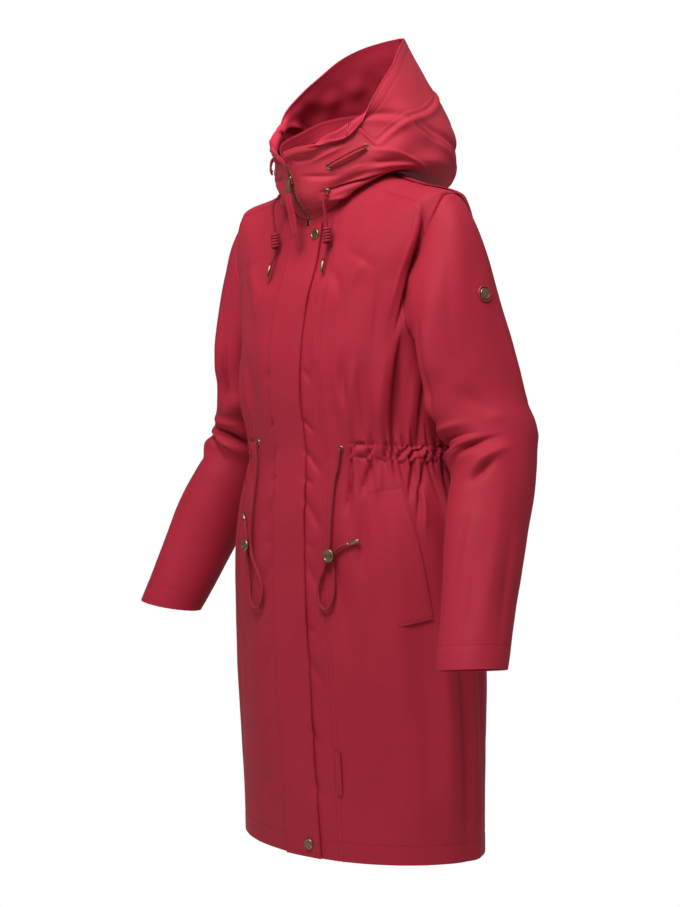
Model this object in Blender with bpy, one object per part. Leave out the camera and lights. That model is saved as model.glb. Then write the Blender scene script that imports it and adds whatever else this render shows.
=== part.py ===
"""A woman's three-quarter length hooded parka, hollow and worn-shaped, as its separate cut and sewn pieces.

Frame: metres, +Z up, +X to the wearer's left, the front faces -Y. The origin is the point between the
shoulders, at the height of the neck points, where the wearer carries the coat.
The tables are in centimetres, as a pattern maker works; CM turns them to metres.
"""

import math

import bmesh
import bpy
import numpy as np
from mathutils import Matrix, Vector
from mathutils.bvhtree import BVHTree

CM = 0.01
MM = 0.001
WALL = 1.6 * MM  # laminated shell cloth with its backing
GAP = 0.3 * MM  # between pieces at a seam

# ---------------------------------------------------------------- the coat's form, as tables
# Rings round the body, hem to neck. side_z orders them, front_z and back_z say how the ring dips.
# side_z, front_z, back_z, half_width, front_y, side_y, back_y, squareness
BODY_RINGS = (
    (-88.7, -89.1, -88.1, 20.0, -9.1, 3.4, 15.2, 2.0),  # hem
    (-76.0, -76.0, -76.0, 20.4, -9.6, 3.2, 15.5, 2.0),  # lower skirt
    (-64.0, -64.0, -64.0, 20.5, -10.0, 2.9, 15.5, 2.05),  # thigh
    (-52.0, -52.0, -52.0, 20.0, -10.1, 2.4, 14.8, 2.1),  # hip
    (-45.0, -45.0, -45.0, 19.0, -9.9, 1.8, 13.6, 2.1),  # high hip
    (-37.0, -36.6, -37.0, 16.4, -9.5, 1.0, 11.4, 2.1),  # waist
    (-30.0, -29.2, -30.0, 16.4, -10.3, 0.5, 11.3, 2.25),  # ribs
    (-22.5, -22.8, -22.5, 17.0, -10.1, 0.4, 11.4, 2.4),  # bust
    (-14.0, -16.5, -15.0, 18.2, -8.9, 0.3, 11.2, 2.5),  # chest
    (-3.3, -11.5, -8.0, 19.2, -7.2, 0.3, 9.8, 2.4),  # shoulder tip
    (-1.6, -8.5, -2.5, 13.0, -6.6, 0.2, 7.8, 2.1),  # mid shoulder
    (0.2, -6.0, 1.2, 7.6, -6.4, 0.0, 6.3, 2.0),  # neck seam
)
HEM_LEVEL, NECK_LEVEL = BODY_RINGS[0][0], BODY_RINGS[-1][0]
TIP_LEVEL, UNDERARM_LEVEL = -3.3, -23.5

# Soft folds of the shell. angle and level of the middle, spread each way, depth in millimetres.
# angle, angle_spread, level, level_spread, depth_mm
BODY_FOLDS = (
    (50, 5, -60, 12, 3.0),
    (63, 6, -68, 14, -3.5),
    (80, 7, -72, 13, 3.5),
    (98, 5, -78, 12, 3.0),
    (118, 8, -70, 15, -3.5),
    (140, 9, -66, 16, 3.5),
    (162, 8, -72, 14, -3.0),
    (34, 5, -46, 7, -2.5),
    (72, 6, -47, 6, 2.5),
    (56, 6, -29, 5, 2.5),
    (70, 5, -31, 4, -2.5),
    (84, 6, -30, 5, 2.5),
    (125, 8, -30, 5, -2.5),
    (152, 8, -31, 5, 2.5),
    (60, 5, -17, 5, -3.0),
    (128, 6, -18, 6, -3.0),
    (33, 4, -12, 5, -1.8),
)

# Gathers drawn up by the waist cord, from each eyelet round the back
GATHER_LEVEL = -36.8
GATHER_HALF_HEIGHT = 2.6
GATHER_DEPTH_MM = 2.0
GATHER_ANGLE = 34.0  # where they start, either side of the centre front

# The sleeve as rings across the arm, for the wearer's left arm.
# station, x, y, z, lean_x, lean_y, wide, thick, turn, right_z_rise
# (lean: the ring's axis, as x and y moved for each centimetre down; turn: degrees of the wide axis)
SLEEVE_RINGS = (
    (0.0, 21.6, 1.4, -24.4, 0.12, 0.14, 13.8, 7.3, 18, 0.0),  # biceps
    (0.7, 22.3, 2.3, -29.6, 0.15, 0.14, 13.8, 7.9, 18, 0.0),
    (1.3, 23.6, 3.2, -33.8, 0.20, 0.00, 13.0, 8.9, 14, 0.2),  # elbow
    (2.0, 24.9, 2.7, -38.4, 0.24, -0.28, 12.0, 9.3, 8, 0.5),
    (3.0, 26.7, -0.4, -46.2, 0.23, -0.40, 11.0, 9.2, 3, 1.4),
    (4.0, 28.4, -3.5, -54.4, 0.22, -0.36, 9.8, 9.0, 0, 2.4),
    (5.0, 30.0, -6.3, -62.4, 0.14, -0.10, 8.8, 8.6, 0, 3.4),  # cuff
)
ARMHOLE_ANGLE = 94.0  # of the underarm point and the shoulder tip
ARMHOLE_FRONT_REACH, ARMHOLE_BACK_REACH = 30.0, 24.0  # degrees cut into the front and the back
ARMHOLE_GAP = 0.7 * MM
SLEEVE_CLEAR = 1.2 * MM  # between the sleeve and the side of the body below the armhole

# Folds of the sleeve: round_angle (0 inside, 90 front, 180 outside, 270 back), spread, station, spread, depth
SLEEVE_FOLDS = (
    (60, 45, 1.05, 0.16, -4.0),
    (75, 50, 1.35, 0.15, 3.5),
    (70, 50, 1.62, 0.14, -5.0),
    (95, 50, 1.90, 0.17, 3.5),
    (80, 45, 2.25, 0.20, -2.5),
    (265, 45, 1.30, 0.25, 3.0),
    (110, 35, 3.3, 0.50, 2.0),
    (30, 40, 4.0, 0.50, -2.0),
    (100, 30, 0.35, 0.22, -3.0),
    (60, 30, 0.62, 0.16, 3.0),
)

# Rings of the hood, neck seam to just short of its opening edge.
# station, half_width, front_y, side_y, back_y, front_z, side_z, back_z, squareness
HOOD_RINGS = (
    (0.0, 7.6, -6.4, 0.0, 6.3, -6.0, 0.2, 1.2, 2.0),  # neck seam
    (1.0, 10.8, -7.6, 2.4, 14.6, -4.6, 0.5, -1.6, 2.0),  # under the roll of the cowl
    (2.0, 11.7, -8.7, 3.4, 16.8, -3.2, 2.2, 1.4, 2.05),  # fullest part of the cowl
    (3.0, 11.0, -9.4, 3.2, 17.1, -1.2, 5.4, 6.8, 1.95),
    (4.0, 9.7, -10.3, 1.8, 14.3, 0.7, 9.2, 12.9, 1.8),  # brim seam at the top
)
# The opening edge, chin to peak: angle, x, y, z
HOOD_EDGE = (
    (0, 0.4, -11.7, 2.3),
    (14, 2.3, -10.7, 3.1),
    (32, 5.2, -8.8, 3.5),
    (48, 7.3, -6.5, 4.2),
    (60, 8.4, -4.8, 6.2),
    (72, 8.7, -3.2, 9.3),
    (88, 8.1, -0.8, 12.1),
    (108, 7.3, 1.7, 14.4),
    (128, 5.9, 4.2, 16.8),
    (148, 4.2, 6.6, 18.4),
    (165, 2.2, 8.9, 19.4),
    (180, 0.0, 10.0, 19.8),
)
HOOD_EDGE_STATION = 5.0
NECK_RISE = 2.4  # how steeply the hood leaves the neck seam before it rolls over
HOOD_FOLDS = (  # angle, spread, station, spread, depth_mm
    (40, 16, 1.9, 0.35, -6.0),
    (66, 14, 2.5, 0.35, 4.0),
    (95, 16, 2.4, 0.40, -4.0),
    (122, 14, 2.9, 0.45, 4.0),
    (146, 10, 2.6, 0.50, -3.0),
    (22, 9, 3.4, 0.50, -3.0),
    (88, 12, 3.6, 0.40, 3.0),
)
BRIM_START_ANGLE, BRIM_CHEEK_ANGLE = 49.0, 61.0  # the brim's lower ends, and where it is widest
BRIM_LEAST, BRIM_PEAK, BRIM_CHEEK = 0.32, 0.92, 1.0  # stations wide: ends, peak, and the cheeks' extra
BRIM_CLEAR_ANGLE = 0.9  # keeps the brim off the sides where the seam runs steeply
CHIN_ANGLE = 5.0  # the hood's first column, which follows the zip, is nearer the centre than this
HOOD_PANEL_ANGLE = 148.0  # seam between the side panel and the centre panel

# The stand collar inside the hood: angle, x, y, z of its top edge
COLLAR_TOP = (
    (0, 0.0, -8.9, 1.2),
    (30, 3.6, -8.0, 2.6),
    (60, 6.4, -5.6, 4.8),
    (90, 7.1, -1.2, 6.9),
    (120, 6.0, 1.6, 8.3),
    (150, 3.4, 3.7, 8.9),
    (180, 0.0, 4.5, 9.0),
)
COLLAR_FOOT_STATION, COLLAR_FOOT_INSET = 0.08, 0.6 * MM  # where the foot is sewn, inside the hood's

# Closure down the centre front
FRONT_EDGE_X = 3.2 * MM  # each front stops here, beside the zip chain
FLAP_WIDTH = 6.3 * CM
FLAP_LIFT = 0.8 * MM
FLAP_NECK_LIFT = 1.0 * MM  # more, where the chest hollows below the neck
FLAP_THICK = 2.2 * MM
# level, free edge of the flap, seam of the band under it, both as x in centimetres
CLOSURE = (
    (-88.7, 5.2, 8.0),
    (-76.0, 4.6, 7.8),
    (-60.0, 3.75, 7.0),
    (-45.0, 3.2, 6.3),
    (-30.0, 2.8, 5.8),
    (0.2, 2.8, 5.0),
)
FLAP_TOP_LEVEL = -0.45

COLOURS = {  # red shell cloth in its parts, lining, cord, metal: sRGB
    "shell": (168, 46, 61),
    "hood": (190, 54, 70),
    "lining": (137, 28, 44),
    "cord": (150, 36, 52),
    "brass": (123, 94, 77),
    "chain": (82, 58, 42),
}


def clear_scene():
    """Remove every object already in the scene."""
    for thing in list(bpy.data.objects):
        bpy.data.objects.remove(thing, do_unlink=True)


def material(name, roughness, metallic):
    """One Principled material in a named colour."""
    made = bpy.data.materials.get(name) or bpy.data.materials.new(name)
    made.use_nodes = True
    shader = made.node_tree.nodes["Principled BSDF"]
    linear = [((c / 255 + 0.055) / 1.055) ** 2.4 for c in COLOURS[name]]
    shader.inputs["Base Color"].default_value = (*linear, 1)
    shader.inputs["Roughness"].default_value = roughness
    shader.inputs["Metallic"].default_value = metallic
    return made


# ---------------------------------------------------------------- smooth curves through the tables
def between(table, key):
    """A table's columns at a key between its rows, as a flexible curve through them would give."""
    keys = [row[0] for row in table]
    rows = [np.array(row[1:], float) for row in table]
    key = min(max(key, keys[0]), keys[-1])
    i = min(max(np.searchsorted(keys, key) - 1, 0), len(keys) - 2)

    def slope(k):
        low, high = max(k - 1, 0), min(k + 1, len(keys) - 1)
        return (rows[high] - rows[low]) / (keys[high] - keys[low])

    step = keys[i + 1] - keys[i]
    t = (key - keys[i]) / step
    h00, h10 = (1 + 2 * t) * (1 - t) ** 2, t * (1 - t) ** 2
    h01, h11 = t * t * (3 - 2 * t), t * t * (t - 1)
    return h00 * rows[i] + h10 * step * slope(i) + h01 * rows[i + 1] + h11 * step * slope(i + 1)


def bump(distance, spread):
    """1 in the middle of a fold and 0 past its spread, with no edge."""
    u = abs(distance) / (spread * 1.6)
    return (1 - u * u) ** 2 if u < 1 else 0.0


def signed_power(value, power):
    """A power that keeps the sign of its base."""
    return math.copysign(abs(value) ** power, value)


# ---------------------------------------------------------------- body
def body_plain(angle, level):
    """The smooth body at an angle (0 front, 90 wearer's left, 180 back) and a level."""
    front_z, back_z, half_width, front_y, side_y, back_y, square = between(BODY_RINGS, level)
    side, ahead = math.sin(math.radians(angle)), math.cos(math.radians(angle))
    end_y, end_z = (front_y, front_z) if ahead > 0 else (back_y, back_z)
    x = half_width * signed_power(side, 2 / square)
    y = side_y + (end_y - side_y) * abs(ahead) ** (2 / square)
    z = level + (end_z - level) * ahead * ahead
    return Vector((x, y, z)) * CM


def normal_of(form, u, v, u_step, v_step):
    """The outward normal of a form with two parameters."""
    across = form(u + u_step, v) - form(u - u_step, v)
    along = form(u, v + v_step) - form(u, v - v_step)
    return across.cross(along).normalized()


def body_fold(angle, level):
    """How far the folds move the shell out, in metres. Both sides of the coat have them."""
    turned = angle % 360
    turned = min(turned, 360 - turned)
    depth = sum(
        row[4] * bump(turned - row[0], row[1]) * bump(level - row[2], row[3]) for row in BODY_FOLDS
    )
    return depth * MM


def body(angle, level, out=0.0):
    """The shell's outer surface, moved out by out."""
    level = min(max(level, HEM_LEVEL), NECK_LEVEL)
    probe = min(max(level, HEM_LEVEL + 0.1), NECK_LEVEL - 0.1)
    normal = normal_of(body_plain, angle, probe, 0.6, 0.1)
    return body_plain(angle, level) + normal * (body_fold(angle, level) + out)


def front_angle(x, level):
    """The angle at which the front has this x."""
    half_width, square = between(BODY_RINGS, level)[[2, 6]]
    share = min(abs(x) / (half_width * CM), 1.0)
    return math.degrees(math.copysign(math.asin(share ** (square / 2)), x))


def side_angle(level):
    """The side seam, which swings forward to the underarm point."""
    t = min(max((level + 42) / (UNDERARM_LEVEL + 42), 0), 1)
    return 98 + (ARMHOLE_ANGLE - 98) * t * t * (3 - 2 * t)


def armhole(turn, reach):
    """The armhole's edge in angle and level: turn 0 underarm, 180 shoulder tip."""
    s, c = math.sin(math.radians(turn)), math.cos(math.radians(turn))
    middle, half = (TIP_LEVEL + UNDERARM_LEVEL) / 2, (TIP_LEVEL - UNDERARM_LEVEL) / 2
    return ARMHOLE_ANGLE - reach * abs(s) ** 0.9 * (1 + 0.15 * c), middle - half * c


LOW_TURNS = [0, 18, 36, 56, 78, 100, 122]  # front armhole, underarm to the yoke seam
YOKE_TURNS = [122, 141, 160, 180]  # front armhole, yoke seam to the tip
BACK_TURNS = [0, 22, 46, 72, 98, 124, 146, 164, 180]  # back armhole, underarm to the tip
FRONT_HOLE = [armhole(turn, ARMHOLE_FRONT_REACH) for turn in LOW_TURNS]
YOKE_HOLE = [armhole(turn, ARMHOLE_FRONT_REACH) for turn in YOKE_TURNS]
BACK_HOLE = [armhole(turn, -ARMHOLE_BACK_REACH) for turn in BACK_TURNS]

SKIRT_LEVELS = [HEM_LEVEL, -81, -73, -66, -59.5, -53, -47, -42.3]
GATHER_LEVELS = [-39.4, -38.1, -36.8, -35.5, -34.2]
CHEST_LEVELS = [-31.5, -27.5, UNDERARM_LEVEL]
CHEST_SHARES = [0.2, 0.4, 0.58, 0.75, 0.9, 1.0]  # rows of the fronts from underarm to neck
NECK_JOIN_ANGLE = 62.0  # where the yoke seam meets the neck seam
NECK_COLUMNS, YOKE_COLUMNS = 4, 5
FRONT_COLUMNS = NECK_COLUMNS + YOKE_COLUMNS
SHOULDER_COLUMNS, BACK_NECK_COLUMNS = 4, 8
BACK_COLUMNS = 2 * SHOULDER_COLUMNS + BACK_NECK_COLUMNS
WAVE_STEPS = 4  # fine columns in each gather

SHOULDER_LINE = [
    (ARMHOLE_ANGLE, TIP_LEVEL + (NECK_LEVEL - TIP_LEVEL) * i / SHOULDER_COLUMNS)
    for i in range(SHOULDER_COLUMNS + 1)
]


def yoke_line():
    """The front yoke seam in angle and level, from the neck seam out to the armhole."""
    end = YOKE_HOLE[0]
    line = []
    for i in range(YOKE_COLUMNS + 1):
        t = i / YOKE_COLUMNS
        level = NECK_LEVEL + (end[1] - NECK_LEVEL) * (1 - (1 - t) ** 1.5)
        line.append((NECK_JOIN_ANGLE + (end[0] - NECK_JOIN_ANGLE) * t, level))
    return line


YOKE_LINE = yoke_line()


def lerp(a, b, t):
    """Between two numbers or two pairs of them."""
    if isinstance(a, tuple):
        return tuple(p + (q - p) * t for p, q in zip(a, b))
    return a + (b - a) * t


def filled(left, right, top, columns, straight_rows):
    """Rows of (angle, level) between two edges, bending towards the top row above the straight ones."""
    rows = []
    last = len(left) - 1
    for r, (a, b) in enumerate(zip(left, right)):
        bend = max(0, r - straight_rows) / max(last - straight_rows, 1)
        row = []
        for s in range(columns + 1):
            plain = lerp(a, b, s / columns)
            off = [top[s][k] - lerp(top[0], top[-1], s / columns)[k] for k in (0, 1)]
            row.append((plain[0] + off[0] * bend, plain[1] + off[1] * bend))
        rows.append(row)
    return rows


def resampled(row, columns):
    """A row with more columns, straight between its own."""
    fine = []
    for s in range(columns + 1):
        place = s * (len(row) - 1) / columns
        i = min(int(place), len(row) - 2)
        fine.append(lerp(row[i], row[i + 1], place - i))
    return fine


def gathered(rows, gather_rows, columns):
    """Rows whose gather rows get a fine column for each quarter wave."""
    return [resampled(row, columns * WAVE_STEPS) if r in gather_rows else row for r, row in enumerate(rows)]


def wall_rows(rows, side, lift=0.0, thick=WALL, wave=False):
    """Outer and inner points of rows of (angle, level). side is 1 or -1; a wave puckers fine rows."""
    outer, inner = [], []
    coarse = min(len(row) for row in rows)
    for row in rows:
        out_row, in_row = [], []
        for s, (angle, level) in enumerate(row):
            pucker = 0.0
            if wave and len(row) > coarse:
                phase = math.cos(2 * math.pi * s / WAVE_STEPS)
                starts = min(max((abs(angle) - GATHER_ANGLE) / 5, 0), 1)
                pucker = GATHER_DEPTH_MM * MM * phase * starts
                pucker *= bump(level - GATHER_LEVEL, GATHER_HALF_HEIGHT)
            probe = min(max(level, HEM_LEVEL + 0.1), NECK_LEVEL - 0.1)
            normal = normal_of(body_plain, angle, probe, 0.6, 0.1)
            point = body(angle, level, lift) + normal * pucker
            back = point - normal * thick
            out_row.append(Vector((side * point.x, point.y, point.z)))
            in_row.append(Vector((side * back.x, back.y, back.z)))
        outer.append(out_row)
        inner.append(in_row)
    return outer, inner


# ---------------------------------------------------------------- closed walls from rows of points
def inset(outer, inner, amount, edges):
    """Move the named edges of a wall in by amount, so that a seam's two sides stay apart."""
    for outside, twin in ((outer, inner), (inner, None)):
        rows = outside
        if "left" in edges:
            for row in rows:
                row[0] = row[0] + (row[1] - row[0]).normalized() * amount
        if "right" in edges:
            for row in rows:
                row[-1] = row[-1] + (row[-2] - row[-1]).normalized() * amount
        if "low" in edges:
            rows[0] = [a + (b - a).normalized() * amount for a, b in zip(rows[0], matched(rows[1], rows[0]))]
        if "high" in edges:
            near = matched(rows[-2], rows[-1])
            rows[-1] = [a + (b - a).normalized() * amount for a, b in zip(rows[-1], near)]


def matched(row, like):
    """A row's points at the columns of another row."""
    step = (len(row) - 1) / (len(like) - 1)
    return [row[min(int(round(i * step)), len(row) - 1)] for i in range(len(like))]


def strip(low, high):
    """Triangles between two rows of vertices, one of which may have a multiple of the other's columns."""
    if len(low) == len(high):
        faces = []
        for i in range(len(low) - 1):
            faces.append((low[i], low[i + 1], high[i + 1]))
            faces.append((low[i], high[i + 1], high[i]))
        return faces
    flip = len(low) > len(high)
    coarse, fine = (high, low) if flip else (low, high)
    ratio = (len(fine) - 1) // (len(coarse) - 1)
    faces = []
    for i in range(len(coarse) - 1):
        start, half = i * ratio, ratio // 2
        for j in range(ratio):
            apex = coarse[i] if j < half else coarse[i + 1]
            faces.append((apex, fine[start + j + 1], fine[start + j]))
        faces.append((coarse[i], coarse[i + 1], fine[start + half]))
    return [face[::-1] for face in faces] if flip else faces


def wall_mesh(name, outer, inner, finish, closed=False):
    """A closed wall between outer and inner rows. closed joins each row's ends into a ring."""
    shape = bmesh.new()
    ids = []
    for rows in (outer, inner):
        made = []
        for row in rows:
            verts = [shape.verts.new(point) for point in row]
            made.append(verts + verts[:1] if closed else verts)
        ids.append(made)
    out, back = ids
    faces = []
    for r in range(len(out) - 1):
        faces += strip(out[r], out[r + 1])
        faces += [face[::-1] for face in strip(back[r], back[r + 1])]
    faces += strip(back[0], out[0])
    faces += strip(out[-1], back[-1])
    if not closed:
        for r in range(len(out) - 1):
            faces += strip([back[r][0], back[r + 1][0]], [out[r][0], out[r + 1][0]])[::1]
            faces += strip([out[r][-1], out[r + 1][-1]], [back[r][-1], back[r + 1][-1]])
    for face in faces:
        shape.faces.new(face)
    bmesh.ops.recalc_face_normals(shape, faces=shape.faces)
    return finished(name, shape, finish)


def finished(name, shape, finish):
    """An object from a bmesh, with its material and smooth shading."""
    if shape.calc_volume(signed=True) < 0:
        bmesh.ops.reverse_faces(shape, faces=shape.faces)
    mesh = bpy.data.meshes.new(name)
    shape.to_mesh(mesh)
    shape.free()
    mesh.materials.append(finish)
    mesh.shade_smooth()
    mesh.set_sharp_from_angle(angle=math.radians(35))
    thing = bpy.data.objects.new(name, mesh)
    bpy.context.scene.collection.objects.link(thing)
    return thing


# ---------------------------------------------------------------- body pieces
def side_name(side):
    """The wearer's side of the coat."""
    return "left" if side > 0 else "right"


def make_fronts(finish):
    """The two fronts, the band beside the left front's zip, and the front yokes."""
    levels = SKIRT_LEVELS + GATHER_LEVELS + CHEST_LEVELS
    straight = len(levels) - 1
    gather_rows = range(len(SKIRT_LEVELS), len(SKIRT_LEVELS) + len(GATHER_LEVELS))
    front_levels = levels + [lerp(UNDERARM_LEVEL, NECK_LEVEL, share) for share in CHEST_SHARES]
    side_edge = [(side_angle(level), level) for level in levels] + FRONT_HOLE[1:]
    for side in (1, -1):
        inner_edge = []
        for level in front_levels:
            x = between(CLOSURE, level)[1] * CM if side > 0 else FRONT_EDGE_X
            inner_edge.append((front_angle(x, level), level))
        start = inner_edge[-1][0]
        neck = [
            (lerp(start, NECK_JOIN_ANGLE, i / NECK_COLUMNS), NECK_LEVEL) for i in range(NECK_COLUMNS)
        ]
        rows = filled(inner_edge, side_edge, neck + YOKE_LINE, FRONT_COLUMNS, straight)
        rows = gathered(rows, gather_rows, FRONT_COLUMNS)
        outer, inner = wall_rows(rows, side, wave=True)
        inset(outer, inner, GAP / 2, ("left", "right", "high"))
        wall_mesh(f"front_{side_name(side)}", outer, inner, finish)

        columns = YOKE_COLUMNS
        seam_end = [lerp(NECK_JOIN_ANGLE, ARMHOLE_ANGLE, i / 3) for i in range(4)]
        rows = []
        for r in range(len(YOKE_HOLE)):
            share = r / (len(YOKE_HOLE) - 1)
            shoulder = [
                (ARMHOLE_ANGLE, lerp(NECK_LEVEL, TIP_LEVEL, s / columns)) for s in range(columns + 1)
            ]
            row = []
            for s in range(columns + 1):
                t = s / columns
                plain = lerp(YOKE_LINE[s], shoulder[s], share)
                neck_point = (seam_end[r], NECK_LEVEL)
                neck_off = [neck_point[k] - lerp(YOKE_LINE[0], shoulder[0], share)[k] for k in (0, 1)]
                hole_off = [YOKE_HOLE[r][k] - lerp(YOKE_LINE[-1], shoulder[-1], share)[k] for k in (0, 1)]
                row.append(tuple(plain[k] + neck_off[k] * (1 - t) + hole_off[k] * t for k in (0, 1)))
            rows.append(row)
        outer, inner = wall_rows(rows, side)
        inset(outer, inner, GAP / 2, ("left", "right", "low", "high"))
        wall_mesh(f"yoke_front_{side_name(side)}", outer, inner, finish)

    rows = []
    for level in front_levels:
        edges = (FRONT_EDGE_X, between(CLOSURE, level)[1] * CM)
        angles = [front_angle(lerp(*edges, s / 3), level) for s in range(4)]
        rows.append([(angle, level) for angle in angles])
    outer, inner = wall_rows(rows, 1)
    inset(outer, inner, GAP / 2, ("left", "right", "high"))
    wall_mesh("front_band_left", outer, inner, finish)
    return front_levels


def make_back(finish):
    """The back, cut in one, and the loose storm flap over its shoulders."""
    levels = SKIRT_LEVELS + GATHER_LEVELS + CHEST_LEVELS
    gather_rows = range(len(SKIRT_LEVELS), len(SKIRT_LEVELS) + len(GATHER_LEVELS))
    edge = [(side_angle(level), level) for level in levels] + BACK_HOLE[1:]
    far = [(360 - angle, level) for angle, level in edge]
    top = SHOULDER_LINE[:-1]
    neck_end = 360 - ARMHOLE_ANGLE
    top = top + [
        (lerp(ARMHOLE_ANGLE, neck_end, i / BACK_NECK_COLUMNS), NECK_LEVEL)
        for i in range(BACK_NECK_COLUMNS + 1)
    ]
    top = top + [(360 - angle, level) for angle, level in SHOULDER_LINE[:-1][::-1]]
    rows = filled(edge, far, top, BACK_COLUMNS, len(levels) - 1)
    storm_rows = [list(row) for row in rows[-5:]]
    for s in range(BACK_COLUMNS + 1):
        near_neck = SHOULDER_COLUMNS - 1 <= s <= BACK_COLUMNS - SHOULDER_COLUMNS + 1
        storm_rows[-1][s] = lerp(rows[-2][s], rows[-1][s], 0.5 if near_neck else 0.9)
    rows = gathered(rows, gather_rows, BACK_COLUMNS)
    outer, inner = wall_rows(rows, 1, wave=True)
    inset(outer, inner, GAP / 2, ("left", "right", "high"))
    wall_mesh("back", outer, inner, finish)

    outer, inner = [], []
    for r, row in enumerate(storm_rows):
        loose = (1.5 + 3.6 * ((len(storm_rows) - 1 - r) / (len(storm_rows) - 1)) ** 1.5) * MM
        out_row, in_row = wall_rows([row], 1, lift=loose + WALL)
        outer += out_row
        inner += in_row
    inset(outer, inner, 1.2 * MM, ("left", "right"))
    inset(outer, inner, 1.5 * MM, ("high",))
    wall_mesh("back_storm_flap", outer, inner, finish)


def make_flap(finish, levels):
    """The fly flap, sewn to the right front and closed over the zip with two snaps."""
    outer, inner = [], []
    for level in [level for level in levels if level < FLAP_TOP_LEVEL - 0.5] + [-1.2, FLAP_TOP_LEVEL]:
        free = between(CLOSURE, level)[0] * CM
        row = [(front_angle(free - FLAP_WIDTH * (1 - s / 6), level), level) for s in range(7)]
        lift = FLAP_LIFT + FLAP_NECK_LIFT * min(max((level + 12) / 8, 0), 1)
        out_row, in_row = wall_rows([row], 1, lift=lift + FLAP_THICK, thick=FLAP_THICK)
        outer += out_row
        inner += in_row
    return wall_mesh("fly_flap", outer, inner, finish)


# ---------------------------------------------------------------- sleeves
def sleeve_ring(station, turn, side):
    """A point round the sleeve: turn 0 inside the arm, 90 front, 180 outside, 270 back."""
    x, y, z, lean_x, lean_y, wide, thick, twist, rise = between(SLEEVE_RINGS, station)
    axis = Vector((lean_x, lean_y, -1)).normalized()
    across = Vector((0, 1, 0))
    across = (across - axis * across.dot(axis)).normalized()
    outward = across.cross(axis).normalized()
    spin = Matrix.Rotation(math.radians(twist), 3, axis)
    across, outward = spin @ across, spin @ outward
    if outward.x < 0:
        outward = -outward
    c, s = math.cos(math.radians(turn)), math.sin(math.radians(turn))
    point = Vector((x, y, z)) - outward * thick / 2 * c - across * wide / 2 * s
    if side < 0:
        point.z += rise
    return point * CM


CAP_TURNS = LOW_TURNS[:-1] + YOKE_TURNS + [360 - turn for turn in BACK_TURNS[1:-1][::-1]]
CAP_EDGE = FRONT_HOLE[:-1] + YOKE_HOLE + BACK_HOLE[1:-1][::-1]


def sleeve_plain(run, index_turn, side):
    """The smooth sleeve: run -1 to 0 is the cap, from armhole to biceps, then it is the ring station."""
    if run >= 0:
        return sleeve_ring(run, index_turn, side)
    turns = CAP_TURNS + [360]
    edge = CAP_EDGE + CAP_EDGE[:1]
    i = max(k for k in range(len(turns) - 1) if turns[k] <= index_turn % 360 + 1e-6)
    share = (index_turn % 360 - turns[i]) / (turns[i + 1] - turns[i])
    angle, level = lerp(edge[i], edge[i + 1], share)
    start = body_plain(angle, level)
    end = sleeve_ring(0, index_turn, side)
    below = sleeve_ring(0.05, index_turn, side)
    down = (below - end).normalized()
    top = (1 - math.cos(math.radians(index_turn))) / 2
    ahead = math.sin(math.radians(index_turn))
    length = (end - start).length
    leave = Vector((0.78 + 0.1 * top, 0.08 * ahead, -0.6)).normalized()
    leave *= length * (0.6 + 0.3 * top)
    arrive = down * length * (0.8 + 0.3 * top)
    t = run + 1
    h00, h10 = (1 + 2 * t) * (1 - t) ** 2, t * (1 - t) ** 2
    h01, h11 = t * t * (3 - 2 * t), t * t * (t - 1)
    return h00 * start + h10 * leave + h01 * end + h11 * arrive


def sleeve_fold(station, turn):
    """How far the sleeve's folds move its surface out, in metres."""
    total = 0.0
    for at, spread, where, reach, depth in SLEEVE_FOLDS:
        away = (turn - at + 180) % 360 - 180
        total += depth * bump(away, spread) * bump(station - where, reach)
    return total * MM


def sleeve_normal(run, turn, side):
    """Outward normal of the left sleeve's smooth form."""
    low, high = max(run - 0.02, -1), min(run + 0.02, 5)
    along = sleeve_plain(high, turn, side) - sleeve_plain(low, turn, side)
    round_it = sleeve_plain(run, turn + 3, side) - sleeve_plain(run, turn - 3, side)
    return along.cross(round_it).normalized()


SLEEVE_RUNS = [
    -1, -0.8, -0.55, -0.28, 0, 0.35, 0.62, 0.85, 1.05, 1.2, 1.35, 1.48, 1.62,
    1.76, 1.9, 2.08, 2.3, 2.6, 3.0, 3.5, 4.0, 4.5, 5.0,
]


def clear_of_body(point):
    """The point, moved out to stand just clear of the body's side where it would press into it."""
    level = point.z / CM
    low, high = 45.0, 135.0
    for _ in range(14):
        middle = (low + high) / 2
        if body(middle, level).y < point.y:
            low = middle
        else:
            high = middle
    if 46 < low < 134 and level > GATHER_LEVEL + GATHER_HALF_HEIGHT and level < TIP_LEVEL - 4:
        point.x = max(point.x, body(low, level).x + SLEEVE_CLEAR)
    return point


def make_sleeves(finish):
    """Two set-in sleeves, each one piece from the armhole to the cuff."""
    for side in (1, -1):
        outer, inner = [], []
        for run in SLEEVE_RUNS:
            out_row, in_row = [], []
            for turn, (angle, level) in zip(CAP_TURNS, CAP_EDGE):
                normal = sleeve_normal(run, turn, side)
                if run == -1:
                    point = body(angle, level)
                    probe = min(max(level, HEM_LEVEL + 0.1), NECK_LEVEL - 0.1)
                    flat = normal_of(body_plain, angle, probe, 0.6, 0.1)
                    away = body_plain(ARMHOLE_ANGLE, (TIP_LEVEL + UNDERARM_LEVEL) / 2) - point
                    across = (away - flat * away.dot(flat)).normalized()
                    point = point + across * ARMHOLE_GAP
                    normal = flat
                else:
                    point = sleeve_plain(run, turn, side) + normal * sleeve_fold(run, turn)
                    point = clear_of_body(point)
                back = point - normal * WALL
                out_row.append(Vector((side * point.x, point.y, point.z)))
                in_row.append(Vector((side * back.x, back.y, back.z)))
            outer.append(out_row)
            inner.append(in_row)
        wall_mesh(f"sleeve_{side_name(side)}", outer, inner, finish, closed=True)


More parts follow.
